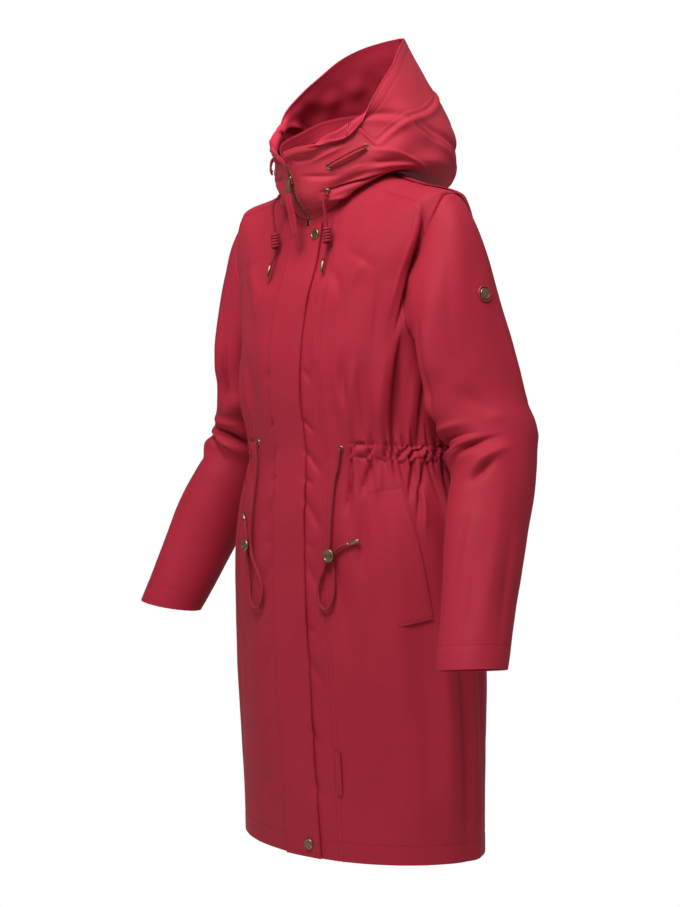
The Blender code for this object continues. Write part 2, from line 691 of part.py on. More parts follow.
# ---------------------------------------------------------------- hood and collar
def hood_ring(angle, station):
    """A ring of the hood at an angle from the centre front."""
    half_width, front_y, side_y, back_y, front_z, side_z, back_z, square = between(HOOD_RINGS, station)
    side, ahead = math.sin(math.radians(angle)), math.cos(math.radians(angle))
    end_y, end_z = (front_y, front_z) if ahead > 0 else (back_y, back_z)
    x = half_width * signed_power(side, 2 / square)
    y = side_y + (end_y - side_y) * abs(ahead) ** (2 / square)
    z = side_z + (end_z - side_z) * ahead * ahead
    return Vector((x, y, z))


def edge_point(table, angle):
    """A point of an edge that is a table of angle, x, y, z for one half."""
    turned = angle % 360
    mirrored = turned > 180
    x, y, z = between(table, 360 - turned if mirrored else turned)
    return Vector((-x if mirrored else x, y, z))


def hood_plain(angle, station):
    """The smooth hood, neck seam at station 0 and opening edge at 5."""
    stations = [row[0] for row in HOOD_RINGS] + [HOOD_EDGE_STATION]
    low = min(max(int(math.floor(station)), 0), len(stations) - 2)

    def node(i):
        i = min(max(i, 0), len(stations) - 1)
        return edge_point(HOOD_EDGE, angle) if i == len(stations) - 1 else hood_ring(angle, i)

    t = station - low
    before, start, end, after = node(low - 1), node(low), node(low + 1), node(low + 2)
    first, second = (end - before) / 2, (after - start) / 2
    if low == 0:
        first = (end - start) * 0.6 + Vector((0, 0, NECK_RISE))
    h00, h10 = (1 + 2 * t) * (1 - t) ** 2, t * (1 - t) ** 2
    h01, h11 = t * t * (3 - 2 * t), t * t * (t - 1)
    return (h00 * start + h10 * first + h01 * end + h11 * second) * CM


def hood_normal(angle, station):
    """Outward normal of the hood."""
    probe = min(max(station, 0.06), HOOD_EDGE_STATION - 0.06)
    return normal_of(hood_plain, angle, probe, 1.0, 0.05)


def hood(angle, station, out=0.0):
    """The hood's outer surface, moved out by out."""
    turned = angle % 360
    turned = min(turned, 360 - turned)
    depth = sum(
        row[4] * bump(turned - row[0], row[1]) * bump(station - row[2], row[3]) for row in HOOD_FOLDS
    )
    return hood_plain(angle, station) + hood_normal(angle, station) * (depth * MM + out)


def brim_station(angle):
    """Where the brim's seam runs: 7 cm from the edge at the peak, further at the cheeks, nothing at the chin."""
    turned = min(angle % 360, 360 - angle % 360)
    share = min(max((turned - BRIM_CHEEK_ANGLE) / (180 - BRIM_CHEEK_ANGLE), 0), 1)
    started = min(max((turned - BRIM_START_ANGLE) / (BRIM_CHEEK_ANGLE - BRIM_START_ANGLE), 0), 1)
    wide = (BRIM_PEAK + BRIM_CHEEK * (1 - share) ** 2.5) * math.sin(started * math.pi / 2)
    return HOOD_EDGE_STATION - max(wide, BRIM_LEAST)


def hood_angle(x, station):
    """The angle at which the hood has this x, near its front."""
    half_width, square = between(HOOD_RINGS, station)[[0, 7]]
    return math.degrees(math.copysign(math.asin((abs(x) / (half_width * CM)) ** (square / 2)), x))


def hood_wall(name, angles, stations_of, finish, edges, mirror=1, seam=GAP / 2):
    """One panel of the hood, as rows from the neck towards the edge."""
    outer, inner = [], []
    count = len(stations_of(angles[0]))
    for r in range(count):
        out_row, in_row = [], []
        for angle in angles:
            station = stations_of(angle)[r]
            if angle < CHIN_ANGLE:
                angle = hood_angle(FRONT_EDGE_X, station)
            point = hood(angle, station)
            back = point - hood_normal(angle, station) * WALL
            out_row.append(Vector((mirror * point.x, point.y, point.z)))
            in_row.append(Vector((mirror * back.x, back.y, back.z)))
        outer.append(out_row)
        inner.append(in_row)
    inset(outer, inner, seam, edges)
    return wall_mesh(name, outer, inner, finish)


def make_hood(finish):
    """The hood: two sides that run round to the chin, a centre panel and a peaked brim."""
    shares = [0, 0.1, 0.2, 0.3, 0.4, 0.5, 0.6, 0.7, 0.8, 0.9, 1.0]
    foot = 0.02

    def side_stations(angle):
        end = HOOD_EDGE_STATION if angle < BRIM_START_ANGLE else brim_station(angle)
        return [foot + (end - foot) * share for share in shares]

    def brim_stations(angle):
        seam = brim_station(min(angle, 360 - angle) - BRIM_CLEAR_ANGLE)
        return [seam + (HOOD_EDGE_STATION - seam) * share for share in (0, 0.5, 1)]

    side_angles = [0, 10, 18, 27, 36, 43, 48.5, 50, 53, 57, 62, 71, 84, 101, 123, HOOD_PANEL_ANGLE]
    for mirror in (1, -1):
        name = f"hood_side_{side_name(mirror)}"
        hood_wall(name, side_angles, side_stations, finish, ("left", "right", "low", "high"), mirror)
    middle = [HOOD_PANEL_ANGLE + (360 - 2 * HOOD_PANEL_ANGLE) * i / 6 for i in range(7)]
    hood_wall("hood_centre", middle, side_stations, finish, ("left", "right", "low", "high"))
    half = [a for a in side_angles if a > BRIM_START_ANGLE]
    brim_angles = half + middle[1:-1] + [360 - angle for angle in half[::-1]]
    hood_wall("hood_brim", brim_angles, brim_stations, finish, ("left", "right", "low"), seam=3 * GAP)


def make_collar(finish):
    """The stand collar inside the hood, sewn to the same neck seam."""
    count = 28
    ends = 8.5
    outer, inner = [], []
    for share in (0, 0.25, 0.5, 0.75, 1.0):
        out_row, in_row = [], []
        for i in range(count + 1):
            angle = ends + (360 - 2 * ends) * i / count

            def form(at, along):
                foot = hood(at, COLLAR_FOOT_STATION, -WALL - COLLAR_FOOT_INSET)
                top = edge_point(COLLAR_TOP, at) * CM
                middle = (foot + top) / 2
                middle.z += 3 * MM
                return foot * (1 - along) ** 2 + middle * 2 * along * (1 - along) + top * along**2

            point = form(angle, share)
            probe = min(max(share, 0.03), 0.97)
            normal = normal_of(form, angle, probe, 2.0, 0.03)
            out_row.append(point)
            in_row.append(point - normal * WALL)
        outer.append(out_row)
        inner.append(in_row)
    return wall_mesh("stand_collar", outer, inner, finish)


# ---------------------------------------------------------------- zip
ZIP_END_LEVEL = -86.5
ZIP_HOOD_STATIONS = (0.35, 0.7, 1.1, 1.7, 2.4, 3.1, 3.8, 4.1)
ZIP_DEPTH, ZIP_NECK_DEPTH = 2.7 * MM, 3.2 * MM  # of the tape's face below the shell's, and at the neck seam
TAPE_HALF, TAPE_THICK = 9 * MM, 1.2 * MM
CHAIN_HALF, CHAIN_HIGH = 2.6 * MM, 2.2 * MM
SLIDER_STATION = 3.15
SLIDER_HALF = (3.9 * MM, 5.0 * MM)
SLIDER_THICK = 2.6 * MM
PULL_CLEAR = 0.3 * MM
TAB_LONG, TAB_HALF, TAB_THICK = 15 * MM, 2.6 * MM, 1.4 * MM
BAR_HALF, BAR_HIGH = 5.6 * MM, 3.4 * MM
RIBBON_HALF, RIBBON_LONG, RIBBON_THICK = 5.4 * MM, 56 * MM, 2.6 * MM
RIBBON_LEAN = Vector((0.06, 0.16, -1)).normalized()


def smooth_line(points, count):
    """Evenly spaced points of a smooth curve through the given ones."""
    keys = [0.0]
    for a, b in zip(points, points[1:]):
        keys.append(keys[-1] + (b - a).length)
    table = [(key, *point) for key, point in zip(keys, points)]
    fine = [Vector(between(table, keys[-1] * i / (count * 4))) for i in range(count * 4 + 1)]
    run = [0.0]
    for a, b in zip(fine, fine[1:]):
        run.append(run[-1] + (b - a).length)
    line = []
    for i in range(count + 1):
        want = run[-1] * i / count
        k = min(max(np.searchsorted(run, want), 1), len(run) - 1)
        share = (want - run[k - 1]) / (run[k] - run[k - 1])
        line.append(fine[k - 1].lerp(fine[k], share))
    return line


def zip_line(levels, x, depth):
    """A line up the zip at this x, behind the two fronts and then the hood's front edges."""
    line = [body(front_angle(x, level), level, -depth) for level in [ZIP_END_LEVEL] + levels[1:-1]]
    neck = body_plain(front_angle(x, NECK_LEVEL), NECK_LEVEL)
    line.append(neck + Vector((0, ZIP_NECK_DEPTH + depth - ZIP_DEPTH, 0)))
    for station in ZIP_HOOD_STATIONS:
        line.append(hood(hood_angle(x, station), station, -depth))
    return line


def make_zip(tape_finish, metal, levels):
    """The tape with its closed chain as one strip, and the slider on it."""
    profile = [
        (-TAPE_HALF, -TAPE_THICK), (-TAPE_HALF, 0), (-CHAIN_HALF, 0), (-CHAIN_HALF, CHAIN_HIGH),
        (CHAIN_HALF, CHAIN_HIGH), (CHAIN_HALF, 0), (TAPE_HALF, 0), (TAPE_HALF, -TAPE_THICK),
    ]
    shape = bmesh.new()
    lines = [zip_line(levels, x, ZIP_DEPTH - out) for x, out in profile]
    rings = [[shape.verts.new(point) for point in row] for row in zip(*lines)]
    for low, high in zip(rings, rings[1:]):
        for k in range(len(profile)):
            n = (k + 1) % len(profile)
            shape.faces.new((low[k], low[n], high[n], high[k]))
    for ring in (rings[0], rings[-1]):
        shape.faces.new((ring[0], ring[1], ring[2], ring[5], ring[6], ring[7]))
        shape.faces.new((ring[2], ring[3], ring[4], ring[5]))
    bmesh.ops.recalc_face_normals(shape, faces=shape.faces)
    finished("zip_tape", shape, tape_finish)

    place, along, outward = slider_frame()
    block("zip_slider", place + outward * SLIDER_THICK / 2, along, outward,
          (SLIDER_HALF[0], SLIDER_HALF[1], SLIDER_THICK / 2), 0.9 * MM, metal)


def slider_frame():
    """The slider's place on the cloth, its direction up the zip and outward."""
    outward = hood_normal(0, SLIDER_STATION)
    outward.x = 0
    outward.normalize()
    pieces = ["hood_side_left", "hood_side_right", "zip_tape"]
    place = seat(pieces, hood_plain(0, SLIDER_STATION), outward, SLIDER_HALF[1] * 1.2)
    return place, Vector((0, -outward.z, outward.y)) * -1, outward


def block(name, centre, along, outward, halves, bevel, finish, taper=1.0):
    """A bevelled block: halves are across, along and outward. taper narrows its end away from along."""
    across = along.cross(outward).normalized()
    shape = bmesh.new()
    bmesh.ops.create_cube(shape, size=2)
    for vert in shape.verts:
        x, y, z = vert.co
        wide = halves[0] * (taper if y < 0 else 1)
        vert.co = centre + across * x * wide + along * y * halves[1] + outward * z * halves[2]
    bmesh.ops.recalc_face_normals(shape, faces=shape.faces)
    if bevel:
        bmesh.ops.bevel(shape, geom=shape.edges[:], offset=bevel, segments=1, profile=0.6, affect="EDGES")
    return finished(name, shape, finish)


def pull_hinge():
    """The pin of the pull, across the slider's nose."""
    place, along, outward = slider_frame()
    high = SLIDER_THICK + PULL_CLEAR + TAB_THICK / 2
    return place + outward * high + along * SLIDER_HALF[1] * 0.55


def make_pull(metal, ribbon_finish):
    """The pull: a metal tab with a bar, and the doubled ribbon of shell cloth through it."""
    pin = pull_hinge()
    drop = Vector((0, 0, -1))
    face = Vector((0, -1, 0))
    start = pin + Vector((0, -0.55 * MM, 0.3 * MM))
    block("zip_pull_tab", start + drop * TAB_LONG / 2, -drop, face,
          (TAB_HALF, TAB_LONG / 2, TAB_THICK / 2), 0.5 * MM, metal, 1.25)
    low = start + drop * (TAB_LONG + GAP)
    block("zip_pull_bar", low + drop * BAR_HIGH / 2, -drop, face,
          (BAR_HALF, BAR_HIGH / 2, RIBBON_THICK / 2 + 0.6 * MM), 0.6 * MM, metal)
    top = low + drop * (BAR_HIGH + GAP)
    rows = 8
    outer, inner = [], []
    for r in range(rows + 1):
        share = r / rows
        direction = drop.lerp(RIBBON_LEAN, min(share * 2, 1)).normalized()
        centre = top + direction * RIBBON_LONG * share
        half = RIBBON_HALF * (1 + 0.1 * math.sin(share * math.pi))
        outer.append([centre + Vector((x * half, -RIBBON_THICK / 2, 0)) for x in (-1, 0, 1)])
        inner.append([centre + Vector((x * half, RIBBON_THICK / 2, 0)) for x in (-1, 0, 1)])
    wall_mesh("zip_pull_ribbon", outer, inner, ribbon_finish)


# ---------------------------------------------------------------- things seated on the cloth
def tree_of(name):
    """A piece's surface, for seating another on it."""
    mesh = bpy.data.objects[name].data
    return BVHTree.FromPolygons([v.co for v in mesh.vertices], [p.vertices[:] for p in mesh.polygons])


def seat(names, place, outward, radius):
    """The point over place where a disc of this radius clears the named pieces by the gap."""
    trees = [tree_of(name) for name in names]
    side = outward.orthogonal().normalized()
    other = outward.cross(side)
    highest = None
    for ring in (0, 0.5, 1):
        for k in range(16):
            turn = 2 * math.pi * k / 16
            spot = place + (side * math.cos(turn) + other * math.sin(turn)) * radius * ring
            for tree in trees:
                hit = tree.ray_cast(spot + outward * 20 * MM, -outward, 40 * MM)[0]
                if hit is not None:
                    high = (hit - place).dot(outward)
                    highest = high if highest is None else max(highest, high)
    return place + outward * ((highest or 0) + GAP)


def turned(name, profile, place, outward, steps, finish):
    """A round piece from (radius, height) pairs, foot first, standing at place along outward."""
    side = outward.orthogonal().normalized()
    other = outward.cross(side)
    shape = bmesh.new()
    rings = []
    for radius, height in profile:
        centre = place + outward * height
        if radius == 0:
            rings.append([shape.verts.new(centre)])
            continue
        rings.append([
            shape.verts.new(centre + (side * math.cos(a) + other * math.sin(a)) * radius)
            for a in (2 * math.pi * k / steps for k in range(steps))
        ])
    pairs = list(zip(rings, rings[1:]))
    if len(rings[0]) > 1:
        pairs.append((rings[-1], rings[0]))
    for low, high in pairs:
        for k in range(steps):
            n = (k + 1) % steps
            if len(low) == 1:
                shape.faces.new((low[0], high[k], high[n]))
            elif len(high) == 1:
                shape.faces.new((low[k], low[n], high[0]))
            else:
                shape.faces.new((low[k], low[n], high[n], high[k]))
    bmesh.ops.recalc_face_normals(shape, faces=shape.faces)
    return finished(name, shape, finish)


EYELET_OUTER, EYELET_INNER, EYELET_HIGH = 4.6 * MM, 2.6 * MM, 1.3 * MM
EYELETS = (  # name, piece, side, angle, station or level
    ("lace_high", "hood", 1, 53.4, 3.02),
    ("lace_low", "hood", 1, 30.3, 3.08),
    ("neck", "hood", 1, 24.0, 1.75),
    ("lace_high", "hood", -1, 53.4, 3.02),
    ("lace_low", "hood", -1, 31.5, 3.00),
    ("neck", "hood", -1, 28.0, 1.70),
    ("waist", "front", 1, 29.6, -36.3),
    ("waist", "front", -1, 28.4, -35.8),
)
SNAPS = (("snap_top", 1.84, -1.35), ("snap_bottom", 3.3, -87.0))  # name, x in cm, level
SNAP_PROFILE = ((0, 0), (7.2, 0), (7.4, 0.8), (6.4, 1.9), (5.0, 2.3), (4.4, 1.9), (0, 2.1))  # mm
BADGE_RUN, BADGE_TURN = -0.33, 196.0
BADGE_PROFILE = ((0, 0), (7.6, 0), (7.8, 1.0), (7.0, 2.2), (5.8, 2.3), (5.2, 1.8), (0, 1.9))  # mm
BADGE_RING_PROFILE = ((8.3, 0), (10.6, 0), (10.9, 0.8), (10.2, 1.5), (8.8, 1.5), (8.3, 0.9))  # mm
LOCK_PROFILE = ((0, 0), (7.4, 0), (8.4, 0.9), (8.4, 3.6), (7.4, 4.6), (5.6, 4.6), (5.0, 4.1), (0, 4.1))  # mm


def in_mm(profile):
    """A profile given in millimetres, in metres."""
    return [(radius * MM, height * MM) for radius, height in profile]


def mirrored(point, side):
    """A point on the wearer's right when side is -1."""
    return Vector((side * point.x, point.y, point.z))


def eyelet_place(piece, side, angle, at):
    """Where an eyelet is, and its outward direction."""
    if piece == "hood":
        place, outward = hood(angle, at), hood_normal(angle, at)
    else:
        place, outward = body(angle, at), normal_of(body_plain, angle, at, 0.6, 0.1)
    return mirrored(place, side), mirrored(outward, side)


def make_metal(metal, red):
    """Eyelets, snaps and the plain badge on the left sleeve."""
    for name, piece, side, angle, at in EYELETS:
        place, outward = eyelet_place(piece, side, angle, at)
        under = f"hood_side_{side_name(side)}" if piece == "hood" else f"front_{side_name(side)}"
        seated = seat([under], place, outward, EYELET_OUTER)
        profile = (
            (EYELET_INNER, 0), (EYELET_OUTER, 0), (EYELET_OUTER * 0.8, EYELET_HIGH),
            (EYELET_INNER * 1.1, EYELET_HIGH * 0.8),
        )
        turned(f"eyelet_{name}_{side_name(side)}", profile, seated, outward, 12, metal)
    for name, x, level in SNAPS:
        angle = front_angle(x * CM, level)
        outward = normal_of(body_plain, angle, max(level, HEM_LEVEL + 0.1), 0.6, 0.1)
        place = body(angle, level, FLAP_LIFT + FLAP_THICK)
        seated = seat(["fly_flap"], place, outward, SNAP_PROFILE[1][0] * MM)
        turned(name, in_mm(SNAP_PROFILE), seated, outward, 16, metal)
    place = sleeve_plain(BADGE_RUN, BADGE_TURN, 1)
    outward = sleeve_normal(BADGE_RUN, BADGE_TURN, 1)
    seated = seat(["sleeve_left"], place, outward, BADGE_RING_PROFILE[1][0] * MM)
    turned("sleeve_badge", in_mm(BADGE_PROFILE), seated, outward, 16, metal)
    turned("sleeve_badge_ring", in_mm(BADGE_RING_PROFILE), seated, outward, 16, red)


# ---------------------------------------------------------------- pocket welts and side tag
WELT_CORNERS = ((42.0, -41.4), (60.4, -40.7), (68.6, -57.35), (52.3, -58.3))  # front top, back top, back low
WELT_LIFT, WELT_THICK = 1.1 * MM, 1.6 * MM
TAG_SEAM_LIFT, TAG_WIDE, TAG_TOP, TAG_LOW = 0.9 * MM, 8.5 * MM, -74.9, -80.3
TAG_THICK = 1.2 * MM


def make_welts(finish):
    """The slanted hip pocket welts, each laid on its front's own points."""
    front_top, back_top, back_low, front_low = WELT_CORNERS
    rows = []
    for r in range(9):
        a, b = lerp(front_low, front_top, r / 8), lerp(back_low, back_top, r / 8)
        rows.append([lerp(a, b, s / 4) for s in range(5)])
    for side in (1, -1):
        outer, inner = wall_rows(rows, side, lift=WELT_LIFT + WELT_THICK, thick=WELT_THICK)
        wall_mesh(f"pocket_welt_{side_name(side)}", outer, inner, finish)


def make_tag(finish):
    """The bare cloth tag let into the band seam of the left front."""
    rows = []
    for r in range(5):
        level = lerp(TAG_LOW, TAG_TOP, r / 4)
        x = between(CLOSURE, level)[1] * CM + 0.4 * MM
        rows.append([(front_angle(x + TAG_WIDE * s / 2, level), level) for s in range(3)])
    outer, inner = wall_rows(rows, 1, lift=TAG_SEAM_LIFT + TAG_THICK, thick=TAG_THICK)
    wall_mesh("side_tag", outer, inner, finish)


# ---------------------------------------------------------------- cords
WAIST_CORD, NECK_CORD, LACE = 4.4 * MM, 3.8 * MM, 3.0 * MM  # diameters
CORD_OUT = 5.0 * MM  # of the waist cords' middle, off the cloth
# The waist cords, from eyelet through the lock, round the loop and back through it to the free end.
# angle, level
WAIST_ROUTES = {
    1: (
        (29.1, -37.3), (27.9, -38.6), (25.8, -40.2), (23.6, -43.2), (22.2, -46.4), (21.4, -49.0),
        (19.7, -50.9), (17.0, -52.7), (15.9, -54.5), (17.1, -56.0), (19.4, -56.6), (21.8, -56.0),
        (23.2, -54.3), (23.3, -52.2), (23.2, -50.3), (24.6, -49.0), (27.2, -48.4), (30.2, -48.1),
    ),
    -1: (
        (27.6, -36.9), (26.2, -38.4), (24.8, -41.0), (23.8, -45.0), (23.7, -48.6), (21.2, -50.8),
        (17.0, -52.5), (13.9, -54.2), (13.6, -56.0), (16.2, -57.3), (20.0, -57.4), (23.4, -56.2),
        (25.3, -53.8), (25.9, -51.2), (26.0, -49.1), (27.6, -47.8), (29.8, -46.8), (31.8, -46.1),
    ),
}
WAIST_LOCKS = {1: (22.4, -49.6), -1: (24.8, -49.2)}  # angle, level
WAIST_TIP_AIM = {1: (37.0, -47.3), -1: (41.0, -44.3)}  # where the metal tip points
TIP_LONG, TIP_RADIUS, NECK_TIP_RADIUS, TIP_GAP = 17 * MM, 2.5 * MM, 2.2 * MM, 0.7 * MM
# The neck cords, eyelet to tip, for the wearer's left: x, y, z in centimetres
NECK_ROUTES = {
    1: ((4.72, -8.05, -3.0), (4.85, -8.2, -3.7), (4.9, -7.95, -5.2), (4.88, -7.62, -7.0),
        (4.86, -7.55, -8.6), (4.84, -7.8, -10.2), (4.8, -8.12, -11.4)),
    -1: ((5.45, -7.7, -3.1), (5.6, -7.95, -3.9), (5.6, -7.85, -5.6), (5.55, -7.6, -7.6),
         (5.5, -7.6, -9.2), (5.55, -7.85, -10.6), (5.75, -8.15, -11.6)),
}
NECK_TIP_AIM = {1: (4.66, -8.45, -13.4), -1: (6.25, -8.55, -13.6)}
KNOT_MIDDLE = {1: (4.87, -7.57, -8.1), -1: (5.52, -7.58, -8.6)}
KNOT_RADIUS, KNOT_LONG = 6.0 * MM, 27 * MM
LACE_SIDE, LACE_OUT = 1.8 * MM, 4.4 * MM


def cord(name, route, diameter, finish, lead=()):
    """A round cord on a smooth curve through its route, with lead points out of its eyelet first."""
    length = sum((b - a).length for a, b in zip(route, route[1:]))
    line = list(lead) + smooth_line(route, max(6, round(length / (diameter * 2.8))))
    curve = bpy.data.curves.new(name, "CURVE")
    curve.dimensions = "3D"
    curve.bevel_depth = diameter / 2
    curve.bevel_resolution = 2
    curve.render_resolution_u = 0
    curve.use_fill_caps = True
    spline = curve.splines.new("POLY")
    spline.points.add(len(line) - 1)
    for point, place in zip(spline.points, line):
        point.co = (*place, 1)
    curve.materials.append(finish)
    thing = bpy.data.objects.new(name, curve)
    bpy.context.scene.collection.objects.link(thing)
    return line


def eyelet_lead(name, side):
    """The cord's first points, out through its eyelet."""
    for label, piece, which, angle, at in EYELETS:
        if (label, which) == (name, side):
            place, outward = eyelet_place(piece, side, angle, at)
    down = Vector((0, 0, -1))
    return [place + outward * 1.5 * MM, place + outward * 3.4 * MM + down * 0.3 * MM,
            place + outward * 4.8 * MM + down * 2.2 * MM]


def on_body(side, angle, level, out):
    """A point over the body's cloth."""
    return mirrored(body(angle, level, out), side)


def make_tip(name, end, aim, radius, finish):
    """The metal tip on a cord's end, face to face with it."""
    direction = (aim - end).normalized()
    profile = ((0, 0), (radius, 0), (radius, TIP_LONG * 0.93), (radius * 0.8, TIP_LONG), (0, TIP_LONG))
    turned(name, profile, end + direction * TIP_GAP, direction, 12, finish)


def make_cords(red, metal):
    """Waist cords with locks and tips, neck cords with barrel knots and tips, and the neck laces."""
    for side in (1, -1):
        who = side_name(side)
        route = [on_body(side, angle, level, CORD_OUT) for angle, level in WAIST_ROUTES[side]]
        line = cord(f"waist_cord_{who}", route, WAIST_CORD, red, eyelet_lead("waist", side))
        aim = on_body(side, *WAIST_TIP_AIM[side], CORD_OUT + 1.0 * MM)
        make_tip(f"waist_tip_{who}", line[-1], aim, TIP_RADIUS, metal)
        angle, level = WAIST_LOCKS[side]
        outward = mirrored(normal_of(body_plain, angle, level, 0.6, 0.1), side)
        place = on_body(side, angle, level, CORD_OUT + WAIST_CORD / 2 + 3 * GAP)
        turned(f"waist_lock_{who}", in_mm(LOCK_PROFILE), place, outward, 16, metal)

        route = [mirrored(Vector(point) * CM, side) for point in NECK_ROUTES[side]]
        line = cord(f"neck_cord_{who}", route, NECK_CORD, red, eyelet_lead("neck", side))
        aim = mirrored(Vector(NECK_TIP_AIM[side]) * CM, side)
        make_tip(f"neck_tip_{who}", line[-1], aim, NECK_TIP_RADIUS, metal)
        middle = mirrored(Vector(KNOT_MIDDLE[side]) * CM, side)
        near = min(range(len(line)), key=lambda i: (line[i] - middle).length)
        axis = (line[near - 2] - line[near + 2]).normalized()
        hole = NECK_CORD / 2 + 1.5 * MM
        half = KNOT_LONG / 2
        profile = (
            (hole, -half), (KNOT_RADIUS * 0.8, -half), (KNOT_RADIUS, -half * 0.8),
            (KNOT_RADIUS, half * 0.8), (KNOT_RADIUS * 0.8, half), (hole, half),
        )
        turned(f"neck_knot_{who}", profile, line[near], axis, 14, red)

        high, low = [row for row in EYELETS if row[1] == "hood" and row[2] == side][:2]
        for name, turn in (("upper", 1), ("lower", -1)):
            route = []
            for t in (0, 0.12, 0.3, 0.5, 0.7, 0.88, 1):
                angle, station = lerp(high[3], low[3], t), lerp(high[4], low[4], t)
                spread = LACE_SIDE * (1 + 0.25 * math.sin(math.pi * t))
                across = (hood(angle, station + 0.1) - hood(angle, station - 0.1)).normalized()
                bow = LACE_OUT + 1.5 * MM * math.sin(math.pi * t)
                route.append(mirrored(hood(angle, station, bow) + across * spread * turn, side))
            cord(f"neck_lace_{name}_{who}", route, LACE, red)


def main():
    """Build every piece of the coat."""
    clear_scene()
    shell = material("shell", 0.85, 0)
    hood_cloth = material("hood", 0.85, 0)
    lining = material("lining", 0.85, 0)
    red = material("cord", 0.8, 0)
    metal = material("brass", 0.4, 1)
    chain = material("chain", 0.5, 0)
    levels = make_fronts(shell)
    make_back(shell)
    make_flap(shell, levels)
    make_sleeves(shell)
    make_hood(hood_cloth)
    make_collar(lining)
    make_zip(chain, metal, levels)
    make_pull(metal, shell)
    make_metal(metal, red)
    make_welts(shell)
    make_tag(red)
    make_cords(red, metal)


main()
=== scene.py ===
import math

import bmesh
import bpy
import numpy as np
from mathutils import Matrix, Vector


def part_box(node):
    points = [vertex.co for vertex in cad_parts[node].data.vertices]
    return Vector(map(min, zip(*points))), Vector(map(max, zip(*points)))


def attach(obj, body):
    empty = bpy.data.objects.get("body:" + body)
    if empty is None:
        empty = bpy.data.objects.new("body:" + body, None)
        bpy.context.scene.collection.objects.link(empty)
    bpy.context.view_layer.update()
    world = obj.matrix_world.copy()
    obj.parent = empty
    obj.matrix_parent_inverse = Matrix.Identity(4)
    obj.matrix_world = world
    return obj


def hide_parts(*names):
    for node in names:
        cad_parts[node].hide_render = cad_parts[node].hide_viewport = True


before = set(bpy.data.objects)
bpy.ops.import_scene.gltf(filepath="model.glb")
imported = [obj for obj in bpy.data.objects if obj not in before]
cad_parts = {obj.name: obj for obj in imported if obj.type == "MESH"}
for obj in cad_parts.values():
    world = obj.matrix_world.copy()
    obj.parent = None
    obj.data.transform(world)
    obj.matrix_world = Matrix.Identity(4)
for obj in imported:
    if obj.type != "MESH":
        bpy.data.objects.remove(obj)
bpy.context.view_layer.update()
CM, MM = 0.01, 0.001


# ================================================================ camera, light and floor
# The coat is seen from its wearer's left front, a little below the chest, in soft studio light from the
# front left, over a pale floor at the height that a wearer would stand on.
CAMERA_TURN, CAMERA_AWAY, CAMERA_HIGH = math.radians(48), 2.84, -0.276
CAMERA_LENS, CAMERA_SHIFT = 84.1, (-0.0055, -0.0766)
FLOOR_HIGH = -1.36

camera = bpy.data.objects.new("camera", bpy.data.cameras.new("camera"))
camera.data.lens, camera.data.sensor_width = CAMERA_LENS, 36
camera.data.shift_x, camera.data.shift_y = CAMERA_SHIFT
camera.location = (math.sin(CAMERA_TURN) * CAMERA_AWAY, -math.cos(CAMERA_TURN) * CAMERA_AWAY, CAMERA_HIGH)
camera.rotation_euler = (math.radians(90), 0, CAMERA_TURN)
bpy.context.scene.collection.objects.link(camera)
bpy.context.scene.camera = camera
bpy.context.scene.view_settings.view_transform = "Standard"

LIGHTS = (  # name, azimuth and height of the lamp in degrees, distance, width, watts
    ("key", 28, 52, 1.95, 0.9, 42),
    ("left", -30, 20, 3.0, 1.6, 6),
    ("top", 75, 70, 2.4, 1.4, 12),
    ("right", 112, 25, 3.0, 1.6, 3),
)
SKY_STRENGTH = 0.25
for name, azimuth, height, away, width, watts in LIGHTS:
    lamp = bpy.data.objects.new(name, bpy.data.lights.new(name, "AREA"))
    lamp.data.energy, lamp.data.size = watts, width
    a, h = math.radians(azimuth), math.radians(height)
    lamp.location = Vector((math.sin(a) * math.cos(h), -math.cos(a) * math.cos(h), math.sin(h))) * away
    lamp.location.z -= 0.35
    toward = Vector((0, 0, -0.35)) - lamp.location
    lamp.rotation_euler = toward.to_track_quat("-Z", "Y").to_euler()
    bpy.context.scene.collection.objects.link(lamp)


def rgb(code):
    """A six-figure sRGB hex colour as linear red, green, blue and alpha."""
    parts = [int(code[i:i + 2], 16) / 255 for i in (0, 2, 4)]
    return (*[c / 12.92 if c <= 0.04045 else ((c + 0.055) / 1.055) ** 2.4 for c in parts], 1)


def node(tree, kind, links=(), **settings):
    """One node of a tree: its settings, then its inputs as values or as other nodes' outputs."""
    made = tree.nodes.new(kind)
    for key, value in settings.items():
        setattr(made, key, value)
    for key, value in dict(links).items():
        socket = made.inputs[key]
        if isinstance(value, bpy.types.NodeSocket):
            tree.links.new(value, socket)
        else:
            socket.default_value = value
    return made


# The room's walls are white: they light the coat softly, and the camera sees them fully lit.
world = bpy.data.worlds.new("studio")
world.use_nodes = True
seen = node(world.node_tree, "ShaderNodeLightPath").outputs["Is Camera Ray"]
strength = node(world.node_tree, "ShaderNodeMapRange", {"Value": seen, "To Min": SKY_STRENGTH, "To Max": 1.0})
world.node_tree.links.new(strength.outputs[0], world.node_tree.nodes["Background"].inputs["Strength"])
world.node_tree.nodes["Background"].inputs["Color"].default_value = (1, 1, 1, 1)
bpy.context.scene.world = world


def plain_finish(name, colour, roughness, metallic=0.0):
    """A Principled material of one colour, and its tree and shader for what is added to it."""
    made = bpy.data.materials.new(name)
    made.use_nodes = True
    shader = made.node_tree.nodes["Principled BSDF"]
    shader.inputs["Base Color"].default_value = rgb(colour)
    shader.inputs["Roughness"].default_value = roughness
    shader.inputs["Metallic"].default_value = metallic
    return made, made.node_tree, shader


